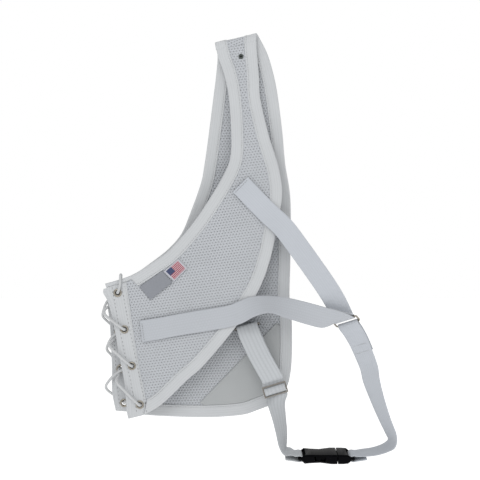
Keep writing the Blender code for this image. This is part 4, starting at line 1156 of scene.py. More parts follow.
@dataclass
class Patch:
    """A plain piece of cloth laid on a panel between a left edge and a right one."""

    name: str
    put: Place
    left: list[Vector]
    right: list[Vector]
    finish: Finish
    lift: float = 0.0011
    thickness: float = 0.0006
    steps: int = 24
    curl: float = 0.0

    def build(self, shop: Workshop) -> bpy.types.Object:
        """Lay the piece down.

        Args:
            shop: Makes the piece.

        Returns:
            The patch.
        """
        left, right = Route(self.left), Route(self.right)
        width = (left.at(left.length / 2.0) - right.at(right.length / 2.0)).length
        bm = bmesh.new()
        layer = bm.loops.layers.uv.new("Metres")
        share_layer = bm.loops.layers.uv.new("Share")
        bmesh.ops.create_grid(bm, x_segments=self.steps, y_segments=self.steps, size=0.5)
        for face in bm.faces:
            for loop in face.loops:
                spot = loop.vert.co.to_2d() + Vector((0.5, 0.5))
                loop[share_layer].uv = spot
                loop[layer].uv = (spot.x * width, spot.y * left.length)
        for vert in bm.verts:
            across, down = vert.co.x + 0.5, vert.co.y + 0.5
            point = left.at(left.length * down).lerp(right.at(right.length * down), across)
            lift = self.lift + self.curl * smooth((down - 0.55) / 0.45) * (0.4 + 0.6 * across)
            vert.co = self.put(point, lift)
        patch = shop.keep(self.name, bm, self.finish, [self.name])
        wall = patch.modifiers.new("thickness", "SOLIDIFY")
        wall.thickness = self.thickness
        wall.offset = 0.0
        cut = self.left + self.right[::-1]
        cut_box(cut, self.left[-1] - self.left[0])
        cut_area(cut)
        return patch


@dataclass
class Panels:
    """The two panels with their bindings, plackets and corner patch."""

    shop: Workshop
    tape_width: float = 0.0145
    tuck: float = 0.0050
    hem: float = 0.0050
    hem_lap: float = 0.0030
    hem_tuck: float = 0.25
    station: float = 0.0028
    eyelet_bore: float = 0.0054
    small_bore: float = 0.0020
    placket_slack: float = 0.0001
    # Rise, pitch and length of the dark stitches that paint the shade of the stitch dimples.
    shade_stitch_rise: float = 0.00148
    shade_stitch_pitch: float = 0.0046
    shade_stitch_length: float = 0.0027
    patch_gap: float = 0.0003

    def tape(
        self, name: str, put: Place, route: Route, side: int, start: Vector | None, end: Vector | None
    ) -> None:
        """Bind one edge with tape."""
        even = Route(route.evenly(round(route.length / self.station)))
        lip = slanted(even, side, self.tape_width, start, end)
        Band(name, put, even.points, lip).build(self.shop)

    def armhole(self, name: str, put: Place, route: Route, stop: float) -> None:
        """Bind an armhole edge, with a narrow hem over the placket.

        Args:
            name: The binding's name.
            put: Lays a flat point on the panel.
            route: The edge.
            stop: How far across the wide tape ends.
        """
        even = Route(route.evenly(round(route.length / self.station)))
        lip = slanted(even, 1, self.tape_width, FORM.along, None)
        share = self.hem / self.tape_width
        inner = []
        for point, far in zip(even.points, lip):
            narrow = smooth((stop + self.hem / 3.0 - point.x) / 0.0012)
            inner.append(point.lerp(far, 1.0 + (share - 1.0) * narrow))
        Band(name, put, even.points, inner).build(self.shop)

    def placket(
        self,
        name: str,
        put: Place,
        side_rows: Sequence[Row],
        inner_rows: Sequence[Row],
        eyelets: Sequence[Row],
    ) -> None:
        """Build an eyelet band with its sewn lines and its holes.

        Args:
            name: The band's name.
            put: Lays a flat point on the panel.
            side_rows: Its free edge.
            inner_rows: Its sewn edge.
            eyelets: Where its eyelets lie.
        """
        outer = Route(smooth_path([flat(row) for row in side_rows], 10)).evenly(90)
        inner = Route(smooth_path([flat(row) for row in inner_rows], 10)).evenly(90)
        tape = Band(name, put, outer, inner, PLACKET_SECTION, slack=self.placket_slack, seam_share=0.930)
        band = tape.build(self.shop)
        spots = [flat(row) for row in eyelets]
        for spot in spots:
            self.punch(band, put(spot, 0.0))
        ends = [spots[0] * 2.0 - spots[1], *spots, spots[-1] * 2.0 - spots[-2]]
        column = Route(smooth_path(ends, 12))
        inside = [point for point in column.points if outer[-1].y + 0.004 < point.y < inner[0].y - 0.004]
        for label, shift in (("left", -0.0056), ("right", 0.0062)):
            line = [point + Vector((shift, 0.0)) for point in inside]
            # The dark thread is painted shade for the stitch dimples.
            seam = Seam(f"{name}_{label}_stitches", put, Route(line), (self.shade_stitch_rise, -self.shade_stitch_rise))
            seam.pitch, seam.stitch, seam.finish = self.shade_stitch_pitch, self.shade_stitch_length, SHADE_THREAD
            seam.build(self.shop)

    def punch(self, band: bpy.types.Object, centre: Vector) -> None:
        """Cut an eyelet's hole through a band.

        Args:
            band: The band, whose mesh is replaced.
            centre: Where the hole lies in the scene.
        """
        bm = bmesh.new()
        bmesh.ops.create_cone(bm, cap_ends=True, segments=24, radius1=0.0034, radius2=0.0034, depth=0.012)
        place = Matrix.Translation(centre) @ Matrix.Rotation(math.radians(90.0), 4, "X")
        bmesh.ops.transform(bm, matrix=place, verts=bm.verts)
        mesh = bpy.data.meshes.new("eyelet_cutter")
        bm.to_mesh(mesh)
        bm.free()
        cutter = bpy.data.objects.new("eyelet_cutter", mesh)
        bpy.context.scene.collection.objects.link(cutter)
        cut = band.modifiers.new("hole", "BOOLEAN")
        cut.object = cutter
        cut.solver = "EXACT"
        graph = bpy.context.evaluated_depsgraph_get()
        pierced = bpy.data.meshes.new_from_object(band.evaluated_get(graph))
        band.modifiers.clear()
        band.data = pierced
        bpy.data.objects.remove(cutter, do_unlink=True)

    def left_edge(self, route: Route, placket: Sequence[Row]) -> list[Vector]:
        """Return a panel's left edge, tucked into its tape and its placket.

        Args:
            route: The armhole's edge.
            placket: The rows of the placket's sewn edge.

        Returns:
            The flat points of the edge, from the shoulder down.
        """
        wide = slanted(route, 1, self.tape_width - self.tuck, FORM.along, None)
        sewn = smooth_path([flat(row) for row in placket], 8)
        inner = [point - Vector((self.tuck, 0.0)) for point in sewn]
        hem_start = sewn[0].x + self.hem + self.hem_lap
        arm = [
            edge.lerp(far, self.hem_tuck if edge.x < hem_start else 1.0)
            for edge, far in zip(route.points, wide)
        ]
        upper = [point for point in arm if point.x > inner[0].x]
        return upper + [point for point in inner if point.y < upper[-1].y]

    def bores(self, rows: Sequence[Row]) -> tuple[tuple[Vector, float], ...]:
        """Return where the cloth is open for a row of eyelets."""
        return tuple((flat(row), self.eyelet_bore) for row in rows)

    def build(self) -> None:
        """Build the front and the back."""
        front_arm, neck = FORM.front_edge(FRONT_ARM), FORM.front_edge(FRONT_NECK)
        back_arm, border = FORM.back_edge(BACK_ARM, -0.05), FORM.back_edge(BACK_BORDER, -0.27)
        reach = self.tape_width - self.tuck
        front_right = slanted(neck, -1, reach, -FORM.along, None)
        back_right = slanted(border, -1, reach, -FORM.along, None)
        front_outline = self.left_edge(front_arm, FRONT_PLACKET) + front_right[::-1]
        back_outline = self.left_edge(back_arm, BACK_PLACKET) + back_right[::-1]
        for outline in (front_outline, back_outline):
            over = FORM.up * self.tuck
            outline[:] = [outline[0] + over, *outline, outline[-1] + over]
        join = -FORM.fold_radius - FORM.fold_drop
        front = Perforated("front_mesh", FORM.front, front_outline, math.radians(8.0), join)
        front.openings = (*self.bores(FRONT_EYELETS), (Vector((0.0, 0.0)), self.small_bore))
        front.build(self.shop)
        back = Perforated("back_mesh", FORM.back, back_outline, math.radians(2.0), FORM.end)
        back.openings = self.bores(BACK_EYELETS)
        back.build(self.shop)
        hem_start = flat(FRONT_PLACKET[0]).x + self.hem
        self.armhole("front_armhole_binding", FORM.front, front_arm, hem_start)
        self.armhole("back_armhole_binding", FORM.back, back_arm, flat(BACK_PLACKET[0]).x + self.hem)
        front_end = (flat(FRONT_PLACKET[-2]) - flat(FRONT_PLACKET[-1])).normalized()
        back_end = (flat(BACK_PLACKET[-2]) - flat(BACK_PLACKET[-1])).normalized()
        self.tape("front_neck_binding", FORM.front, neck, -1, -FORM.along, front_end)
        self.tape("back_edge_binding", FORM.back, border, -1, -FORM.along, back_end)
        self.placket("front_placket", FORM.front, FRONT_SIDE, FRONT_PLACKET, FRONT_EYELETS)
        self.placket("back_placket", FORM.back, BACK_SIDE, BACK_PLACKET, BACK_EYELETS)
        self.corner(border)

    def corner(self, border: Route) -> None:
        """Lay the plain patch in the back panel's lower corner.

        Args:
            border: The back panel's outer edge.
        """
        lip = Route(border.evenly(180)).sideways(self.tape_width + self.patch_gap, -1)
        limit = flat(PATCH_TOP_LEFT)
        hem = [point for point in lip if point.x > limit.x and point.y < limit.y]
        count = len(hem) - 1
        slope = [hem[0].lerp(hem[-1], index / count) + Vector((-0.004, 0.003)) for index in range(count + 1)]
        Patch("corner_patch", FORM.back, slope, hem, PLAIN_KNIT, lift=0.0009, steps=40).build(self.shop)
        line = Route([point.lerp(near, 0.03) for point, near in zip(slope, hem)])
        Seam("corner_patch_stitches", FORM.back, line, (0.0013,)).build(self.shop)


@dataclass
class Labels:
    """The two labels sewn beside the armhole."""

    shop: Workshop

    def label(self, name: str, rows: Sequence[Row], finish: Finish, curl: float) -> None:
        """Sew one label on the front panel."""
        spots = [flat(row) for row in rows]
        left = [spots[0].lerp(spots[2], share / 8) for share in range(9)]
        right = [spots[1].lerp(spots[3], share / 8) for share in range(9)]
        cloth = Patch(name, FORM.front, left, right, finish, 0.0012, 0.0005, curl=curl)
        cloth.build(self.shop)

    def build(self) -> None:
        """Sew both labels."""
        self.label("side_label", SIDE_LABEL, SATIN, 0.0014)
        self.label("flag_label", FLAG_LABEL, StripeFinish(), 0.0004)


@dataclass
class Lacing:
    """The eyelets, and the lace that runs through them."""

    shop: Workshop
    radius: float = 0.0050
    bore: float = 0.0029
    half: float = 0.0017
    dome: float = 0.0008
    lace: float = 0.0032
    sides: int = 12
    easing: int = 34
    held_near: float = 0.0030
    held_blend: float = 0.0070
    small: tuple[float, float, float, float] = (0.0030, 0.0009, 0.0006, 0.0007)

    def eyelet(
        self, name: str, put: Place, point: Vector, sizes: tuple[float, float, float, float], finish: Finish,
    ) -> None:
        """Spin an eyelet whose rolled rims grip both faces of the cloth.

        Args:
            name: The eyelet's name.
            put: Lays a flat point on the panel.
            point: Its flat place.
            sizes: Outer radius, bore, half grip and height of the rim.
            finish: Its metal.
        """
        radius, bore, half, dome = sizes
        middle, swing = (radius + bore) / 2.0, (radius - bore) / 2.0
        rim = [
            (middle - swing * math.cos(angle), half + dome * math.sin(angle))
            for angle in (math.pi * step / 8 for step in range(9))
        ]
        profile = rim + [(bore + 0.0004, half), (bore + 0.0004, -half)]
        profile += [(run, -rise) for run, rise in reversed(rim)]
        bm = bmesh.new()
        layer = bm.loops.layers.uv.new("Metres")
        ring = [bm.verts.new((run, 0.0, rise)) for run, rise in profile]
        edges = [bm.edges.new((ring[index - 1], ring[index])) for index in range(len(ring))]
        bmesh.ops.spin(
            bm, geom=ring + edges, cent=(0.0, 0.0, 0.0), axis=(0.0, 0.0, 1.0), angle=math.tau, steps=40,
            use_merge=True,
        )
        bmesh.ops.remove_doubles(bm, verts=bm.verts, dist=0.00001)
        step = 0.002
        across = put(point + Vector((step, 0.0)), 0.0) - put(point - Vector((step, 0.0)), 0.0)
        up = put(point + Vector((0.0, step)), 0.0) - put(point - Vector((0.0, step)), 0.0)
        turn = Vector((0.0, 0.0, 1.0)).rotation_difference(across.cross(up)).to_matrix().to_4x4()
        for face in bm.faces:
            for loop in face.loops:
                loop[layer].uv = loop.vert.co.to_2d()
        bmesh.ops.transform(bm, matrix=Matrix.Translation(put(point, 0.0)) @ turn, verts=bm.verts)
        self.shop.keep(name, bm, finish, [name], sharp=60.0)

    def crossing(
        self, start: Row, start_put: Place, away: int, edge_row: Row, end: Row, end_put: Place,
    ) -> list[Vector]:
        """Return lace points from one eyelet around the other panel's edge to the next.

        Args:
            start: The eyelet that the lace leaves.
            start_put: Lays a flat point on that eyelet's panel.
            away: Which face it leaves by: 1 toward the viewer, -1 away.
            edge_row: Where it turns around the edge.
            end: The eyelet that it enters.
            end_put: Lays a flat point on the other panel.

        Returns:
            The points of the crossing.
        """
        head, foot, edge = flat(start), flat(end), flat(edge_row)
        points = [start_put(head + Vector((-run, -drop)), away * rise) for run, drop, rise in EYELET_LEAD]
        turn = [end_put(edge + Vector((-run, drop)), away * rise) for run, drop, rise in EDGE_TURN]
        apart = Vector((LACE_APART[0], 0.0, LACE_APART[1])) * away
        points.append(points[-1].lerp(turn[0], 0.5) + apart)
        points += turn
        for run, drop, rise in reversed(EYELET_LEAD):
            points.append(end_put(foot + Vector((-run, drop)), away * rise))
        return points

    def strand(
        self, first: Sequence[Row], first_put: Place, second: Sequence[Row], second_put: Place, away: int,
    ) -> list[Vector]:
        """Return the lace points of one strand, from its top eyelet to its hidden end.

        Args:
            first: The eyelets of the panel that it starts on.
            first_put: Lays a flat point on that panel.
            second: The eyelets of the other panel.
            second_put: Lays a flat point on the other panel.
            away: Which face it first leaves by.

        Returns:
            The points of the strand.
        """
        points: list[Vector] = []
        rows, puts = [first, second], [first_put, second_put]
        for level in range(3):
            edges = BACK_CROSSINGS if puts[1] == FORM.back else FRONT_CROSSINGS
            points += self.crossing(rows[0][level], puts[0], away, edges[level], rows[1][level + 1], puts[1])
            rows.reverse()
            puts.reverse()
            away = -away
        last = flat(rows[0][3])
        points += [puts[0](last + Vector((run, drop)), away * rise) for run, drop, rise in EYELET_LEAD]
        points.append(puts[0](last + Vector((LACE_TAIL, 0.0)), away * LACE_SIDE))
        return points

    def route(self) -> list[Vector]:
        """Return the lace's points from one hidden end to the other."""
        left = self.strand(FRONT_EYELETS, FORM.front, BACK_EYELETS, FORM.back, -1)
        right = self.strand(BACK_EYELETS, FORM.back, FRONT_EYELETS, FORM.front, 1)
        first, second = flat(FRONT_EYELETS[0]), flat(BACK_EYELETS[0])
        over = [FORM.front(first + Vector((drop, run)), rise) for run, drop, rise in EYELET_LEAD]
        over += [FORM.front(flat(row), row[2]) for row in LACE_OVER_FRONT]
        over += [FORM.back(flat(row), row[2]) for row in LACE_OVER_BACK]
        over += [FORM.back(second + Vector((drop, run)), -rise) for run, drop, rise in reversed(EYELET_LEAD)]
        return left[::-1] + over + right

    def looseness(self, point: Vector) -> float:
        """Return how free the lace is at a point: 0 in an eyelet and 1 well away from one."""
        spots = [FORM.front(flat(row), 0.0) for row in FRONT_EYELETS]
        spots += [FORM.back(flat(row), 0.0) for row in BACK_EYELETS]
        nearest = min((point - spot).length for spot in spots)
        return smooth((nearest - self.held_near) / self.held_blend)

    def build(self) -> None:
        """Set the eyelets and run the lace."""
        sizes = (self.radius, self.bore, self.half, self.dome)
        for stem, put, rows in (("front", FORM.front, FRONT_EYELETS), ("back", FORM.back, BACK_EYELETS)):
            for number, row in enumerate(rows, start=1):
                self.eyelet(f"eyelet_{stem}_{number}", put, flat(row), sizes, NICKEL)
        self.eyelet("hang_eyelet", FORM.front, Vector((0.0, 0.0)), self.small, DARK_DOT)
        points = Route(smooth_path(self.route(), 8)).evenly(620)
        loose = [self.looseness(point) for point in points]
        for _ in range(self.easing):
            eased = [
                point.lerp((first + last) / 2.0, share / 2.0)
                for first, point, last, share in zip(points, points[1:], points[2:], loose[1:])
            ]
            points = [points[0], *eased, points[-1]]
        path = Route(points)
        frames = tube_frames(path.points)
        radius = self.lace / 2.0

        def place(number: int, station: int) -> Vector:
            """Return the place of one point of the section at one station."""
            side, over = frames[station]
            angle = math.tau * number / self.sides
            return path.points[station] + (side * math.cos(angle) + over * math.sin(angle)) * radius

        bm = wrap_grid(self.sides, len(path.points) - 1, place, (math.pi * self.lace, path.length))
        self.shop.keep("side_lace", bm, LACE_BRAID, ["side_lace"], sharp=80.0)
        LOG.info("side_lace is %.3f m long", path.length)


def tube_frames(points: Sequence[Vector]) -> list[tuple[Vector, Vector]]:
    """Return two ways square to a path at each point, without twist.

    Args:
        points: The path.

    Returns:
        Two unit vectors for each point.
    """
    frames = []
    side = Vector((0.0, 1.0, 0.0))
    last = len(points) - 1
    for index in range(last + 1):
        run = (points[min(index + 1, last)] - points[max(index - 1, 0)]).normalized()
        side = side - run * side.dot(run)
        if side.length < 0.05:
            side = run.orthogonal()
        side.normalize()
        frames.append((side.copy(), run.cross(side)))
    return frames


StrapRow = tuple[Vector, Vector, Vector]


def strap_rows(table: Sequence[Row]) -> list[StrapRow]:
    """Return centre, width vector and free share for each row of a strap table.

    Args:
        table: Rows of shares, turn, lean and freedom.

    Returns:
        The strap rows.
    """
    rows = []
    for row in table:
        turn, lean = math.radians(row[3]), math.radians(row[4])
        level = math.cos(lean)
        width = Vector((level * math.cos(turn), -math.sin(lean), level * math.sin(turn)))
        rows.append((place_of(row), width, Vector((row[5], 0.0, 0.0))))
    return rows


def wrap_rows(
    centre: Vector, width: Vector, first: Vector, second: Vector, radius: float, angles: Sequence[float]
) -> list[StrapRow]:
    """Return rows around a bar, at angles from the first way toward the second.

    Args:
        centre: The bar's middle.
        width: The way across the strap.
        first: The way of angle zero.
        second: The way of ninety degrees.
        radius: The distance from the bar's middle.
        angles: The angles, in degrees.

    Returns:
        The strap rows.
    """
    rows = []
    for degrees in angles:
        angle = math.radians(degrees)
        spot = centre + first * (radius * math.cos(angle)) + second * (radius * math.sin(angle))
        rows.append((spot, width, FREE))
    return rows


def behind(rows: Sequence[StrapRow], index: int, distance: float) -> StrapRow:
    """Return a strap row laid a distance behind another, away from the viewer.

    Args:
        rows: The rows of the strap in front.
        index: Which of them it lies behind.
        distance: How far behind it lies.

    Returns:
        The strap row.
    """
    centre, width, free = rows[index]
    last = len(rows) - 1
    run = rows[min(index + 1, last)][0] - rows[max(index - 1, 0)][0]
    normal = run.cross(width).normalized()
    normal = normal if normal.y > 0.0 else -normal
    return centre + normal * distance, width, free


# Half section of webbing: share across, share of its half thickness.
WEBBING_SECTION: tuple[Row, ...] = (
    (-0.500, 0.00), (-0.496, 0.55), (-0.480, 0.92), (-0.440, 1.04), (-0.330, 0.98),
    (-0.200, 1.00), (-0.080, 0.98), (0.080, 0.98), (0.200, 1.00), (0.330, 0.98),
    (0.440, 1.04), (0.480, 0.92), (0.496, 0.55), (0.500, 0.00),
)


@dataclass
class Harness:
    """The webbing straps and the wire rings."""

    shop: Workshop
    width: float = 0.0254
    thickness: float = 0.0012
    lift: float = 0.0029
    wrap: float = 0.0019
    lead: float = 0.0030
    folded: float = 0.0026
    ring_half: float = 0.0148
    ring_height: float = 0.0050
    anchor_height: float = 0.0048
    ring_corner: float = 0.0022
    wire: float = 0.0010
    buckle_length: float = 0.0655
    bar_share: float = 0.474
    bar_half: float = 0.0017
    tail: float = 0.0165
    sewn_share: float = 0.44
    sewn_pitch: float = 0.0026
    upper_sewn: tuple[float, ...] = (0.0022,)
    waist_sewn: tuple[float, ...] = (0.0022, 0.1165)
    fold_sewn: tuple[float, ...] = (0.0010, 0.0100)

    def strap(self, name: str, rows: Sequence[StrapRow], finish: Finish, steps: int = 6) -> None:
        """Weave a strap along its rows.

        Args:
            name: The strap's name.
            rows: Its centres, width vectors and free shares.
            finish: Its webbing.
            steps: How many stretches lie between two rows.
        """
        centres = smooth_path([row[0] for row in rows], steps)
        widths = smooth_path([row[1] for row in rows], steps)
        frees = smooth_path([row[2] for row in rows], steps)
        last = len(centres) - 1
        under = [(share, -height) for share, height in reversed(WEBBING_SECTION[1:-1])]
        ring = [*WEBBING_SECTION, *under]
        normals = []
        for index in range(last + 1):
            run = centres[min(index + 1, last)] - centres[max(index - 1, 0)]
            normals.append(run.cross(widths[index]).normalized())

        def place(number: int, station: int) -> Vector:
            """Return the place of one point of the section at one station."""
            share, height = ring[number]
            spot = centres[station] + widths[station].normalized() * (share * self.width)
            free = min(1.0, max(0.0, frees[station].x))
            laid = FORM.front(Vector((spot.x, spot.z)), self.lift)
            return laid.lerp(spot, free) + normals[station] * (height * self.thickness / 2.0)

        bm = wrap_grid(len(ring), last, place, (2.0 * self.width, Route(centres).length))
        self.shop.keep(name, bm, finish, [name])

    def sew_down(self, name: str, table: Sequence[Row], spots: Sequence[float]) -> None:
        """Sew rows of stitches across a strap that lies on the front panel.

        Args:
            name: The strap's name.
            table: Its rows of shares.
            spots: The distances along it where a row of stitches lies.
        """
        centres = Route(smooth_path([place_of(row) for row in table], 6))
        turns = Route(smooth_path([row[1] for row in strap_rows(table)], 6))
        for number, spot in enumerate(spots, start=1):
            centre = centres.at(spot)
            width = turns.at(turns.length * spot / centres.length)
            half = Vector((width.x, width.z)) * self.width * self.sewn_share
            middle = Vector((centre.x, centre.z))
            lift = self.lift + self.thickness / 2.0 + 0.0001
            line = Route([middle - half, middle + half])
            seam = Seam(f"{name}_stitches_{number}", FORM.front, line, (lift,))
            # The dark thread is painted shade for the stitch dimples.
            seam.pitch, seam.finish = self.sewn_pitch, SHADE_THREAD
            seam.build(self.shop)

    def sew_folded(self, name: str, rows: Sequence[StrapRow], index: int, spots: Sequence[float]) -> None:
        """Sew rows of stitches across a folded strap that hangs free.

        Args:
            name: The strap's name.
            rows: Its rows.
            index: The row that the stitches are measured from.
            spots: How far before that row each row of stitches lies.
        """
        centre, width, _ = rows[index]
        run = (rows[index - 1][0] - centre).normalized()
        normal = run.cross(width).normalized()
        normal = normal if normal.y < 0.0 else -normal

        def put(point: Vector, lift: float) -> Vector:
            """Return the place of a flat point on the hanging strap."""
            return centre + width * point.x + run * point.y + normal * lift

        reach = self.width * self.sewn_share
        for number, spot in enumerate(spots, start=1):
            line = Route([Vector((-reach, spot)), Vector((reach, spot))])
            seam = Seam(f"{name}_fold_stitches_{number}", put, line, (self.thickness / 2.0 + 0.0001,))
            seam.pitch = self.sewn_pitch
            seam.build(self.shop)

    def turn_at_bar(self, bar: Vector, long_way: Vector, row: StrapRow) -> list[StrapRow]:
        """Return rows that pass over a bar from the front of a strap to behind it.

        Args:
            bar: The bar's middle.
            long_way: The way along the bar.
            row: The last row before the bar.

        Returns:
            The strap rows.
        """
        way = bar - row[0]
        way = (way - long_way * way.dot(long_way)).normalized()
        front = long_way.cross(way)
        front = front if front.y < 0.0 else -front
        first = [(bar + front * self.wrap - way * self.lead, long_way, FREE)]
        around = wrap_rows(bar, long_way, front, way, self.wrap, (0, 45, 90, 135, 180))
        return first + around + [(bar - front * self.wrap - way * self.lead, long_way, FREE)]

    def ring(
        self, name: str, centre: Vector, long_way: Vector, short_way: Vector, height: float, finish: Finish,
    ) -> None:
        """Bend a wire ring with round corners.

        Args:
            name: The ring's name.
            centre: Its middle.
            long_way: The way of its longer side.
            short_way: The way of its shorter side.
            height: Half its shorter side.
            finish: Its metal.
        """
        points = []
        reach, rise = self.ring_half - self.ring_corner, height - self.ring_corner
        for corner, (along, up) in enumerate(((1, 1), (-1, 1), (-1, -1), (1, -1))):
            for step in range(7):
                angle = math.radians(90.0 * corner + 15.0 * step)
                across = along * reach + self.ring_corner * math.cos(angle)
                over = up * rise + self.ring_corner * math.sin(angle)
                points.append(centre + long_way * across + short_way * over)
        normal = long_way.cross(short_way)
        count = len(points)
        sides = 12

        def place(number: int, station: int) -> Vector:
            """Return the place of one point of the section at one station."""
            run = (points[(station + 1) % count] - points[station - 1]).normalized()
            side = run.cross(normal)
            angle = math.tau * number / sides
            return points[station] + (side * math.cos(angle) + normal * math.sin(angle)) * self.wire

        bm = wrap_grid(sides, count, place, (math.tau * self.wire, Route(points).length), closed=True)
        self.shop.keep(name, bm, finish, [name], sharp=80.0)

    def build(self) -> None:
        """Build every strap, ring and wrap."""
        long_way = Vector((0.85, -0.42, 0.31)).normalized()
        short_way = Vector((0.54, 0.62, -0.57))
        short_way = (short_way - long_way * short_way.dot(long_way)).normalized()
        ring = place_of((0.352, -0.611, 0.98))
        self.ring("junction_ring", ring, long_way, short_way, self.ring_height, NICKEL)
        upper_bar = ring - short_way * self.ring_height
        lower_bar = ring + short_way * self.ring_height
        self.strap("upper_strap", strap_rows(UPPER_STRAP), WEBBING, 10)
        self.sew_down("upper_strap", UPPER_STRAP, self.upper_sewn)
        self.sew_down("waist_strap", WAIST_STRAP, self.waist_sewn)
        waist = strap_rows(WAIST_STRAP)
        last = len(waist) - 1
        back = [behind(waist, last, self.folded), behind(waist, last - 1, self.folded)]
        waist += self.turn_at_bar(upper_bar, long_way, waist[-1])
        self.strap("waist_strap", waist + back, WAFFLE, 8)
        self.lower_straps(lower_bar, long_way)

    def lower_straps(self, lower_bar: Vector, long_way: Vector) -> None:
        """Build the two straps that the buckle joins, with the loop and its anchor.

        Args:
            lower_bar: The middle of the junction ring's lower bar.
            long_way: The way along that bar.
        """
        buckle = place_of((0.284, -0.921, 0.64))
        roll = math.radians(5.0)
        along = Vector((1.0, 0.0, 0.0))
        near = Vector((0.0, -math.cos(roll), -math.sin(roll)))
        over = along.cross(near)
        over = over if over.z > 0.0 else -over
        plug_bar = buckle + along * (self.buckle_length * self.bar_share)
        socket_bar = buckle - along * (self.buckle_length * self.bar_share)
        radius = self.bar_half + self.thickness + 0.0006
        right = strap_rows(RIGHT_STRAP)
        rows = [behind(right, index, self.folded) for index in (2, 1, 0)]
        rows += list(reversed(self.turn_at_bar(lower_bar, long_way, right[0]))) + right
        rows += [(plug_bar + along * 0.0050 + over * 0.0030, near, FREE)]
        rows += wrap_rows(plug_bar, near, along, over, radius, (80, 130, 180, 230, 280))
        rows += [
            (plug_bar + along * 0.0060 - over * 0.0026, near, FREE),
            (plug_bar + along * self.tail - over * 0.0010, near, FREE),
        ]
        self.strap("right_strap", rows, WEBBING)
        self.sew_folded("right_strap", right, 2, self.fold_sewn)
        slide = place_of(SLIDE_CENTRE)
        slide_long = Vector((math.cos(SLIDE_TURN), 0.0, math.sin(SLIDE_TURN)))
        slide_up = Vector((-math.sin(SLIDE_TURN), 0.0, math.cos(SLIDE_TURN)))
        viewer = Vector((0.0, -1.0, 0.0))
        rows = [
            (socket_bar - along * self.tail - over * 0.0012, -near, FREE),
            (socket_bar - along * 0.0060 - over * 0.0026, -near, FREE),
        ]
        rows += wrap_rows(socket_bar, -near, -along, over, radius, (280, 230, 180, 130, 80))
        rows += [(socket_bar - along * 0.0050 + over * 0.0030, -near, FREE)]
        rows += strap_rows(LEFT_STRAP)
        rows += [(slide + slide_up * up + viewer * out, slide_long, FREE) for up, out in SLIDE_WEAVE]
        rows += strap_rows(FRONT_LOOP)
        anchor = place_of((0.021, -0.627, 0.02))
        anchor_long = Vector((0.966, 0.0, 0.259)).normalized()
        anchor_short = Vector((0.07, 0.966, -0.26)).normalized()
        anchor_up = anchor_long.cross(anchor_short)
        anchor_up = anchor_up if anchor_up.z > 0.0 else -anchor_up
        loop_bar = anchor - anchor_short * self.anchor_height
        rear_bar = anchor + anchor_short * self.anchor_height
        lead = anchor_up * self.lead
        rows.append((loop_bar - anchor_short * self.wrap - lead, anchor_long, FREE))
        rows += wrap_rows(loop_bar, anchor_long, -anchor_short, anchor_up, self.wrap, (0, 60, 120, 180))
        rows.append((loop_bar + anchor_short * self.wrap - lead, anchor_long, FREE))
        rows += strap_rows(REAR_LOOP)
        rows += [
            (slide + slide_up * 0.0062 - viewer * 0.0038, slide_long, FREE),
            (slide + slide_up * 0.0022 - viewer * 0.0026, slide_long, FREE),
        ]
        rows += wrap_rows(slide, slide_long, -viewer, -slide_up, self.wrap, (20, 50, 80, 110, 140, 170))
        self.strap("left_strap", rows, ELASTIC)
        self.ring("anchor_ring", anchor, anchor_long, anchor_short, self.anchor_height, DULL_WIRE)
        foot = FORM.back(Vector((rear_bar.x + 0.0040, rear_bar.z - 0.016)), 0.0022)
        middle = foot.lerp(rear_bar, 0.5)
        rows = [(foot, anchor_long, FREE), (middle + Vector((0.0, 0.0012, 0.0)), anchor_long, FREE)]
        turns = (-20, 18, 56, 94, 132, 171, 210)
        rows += wrap_rows(rear_bar, anchor_long, anchor_short, anchor_up, self.wrap, turns)
        rows += [(foot.lerp(rear_bar, 0.55) - Vector((0.0, 0.0022, 0.0)), anchor_long, FREE)]
        self.strap("anchor_tab", rows, ELASTIC)


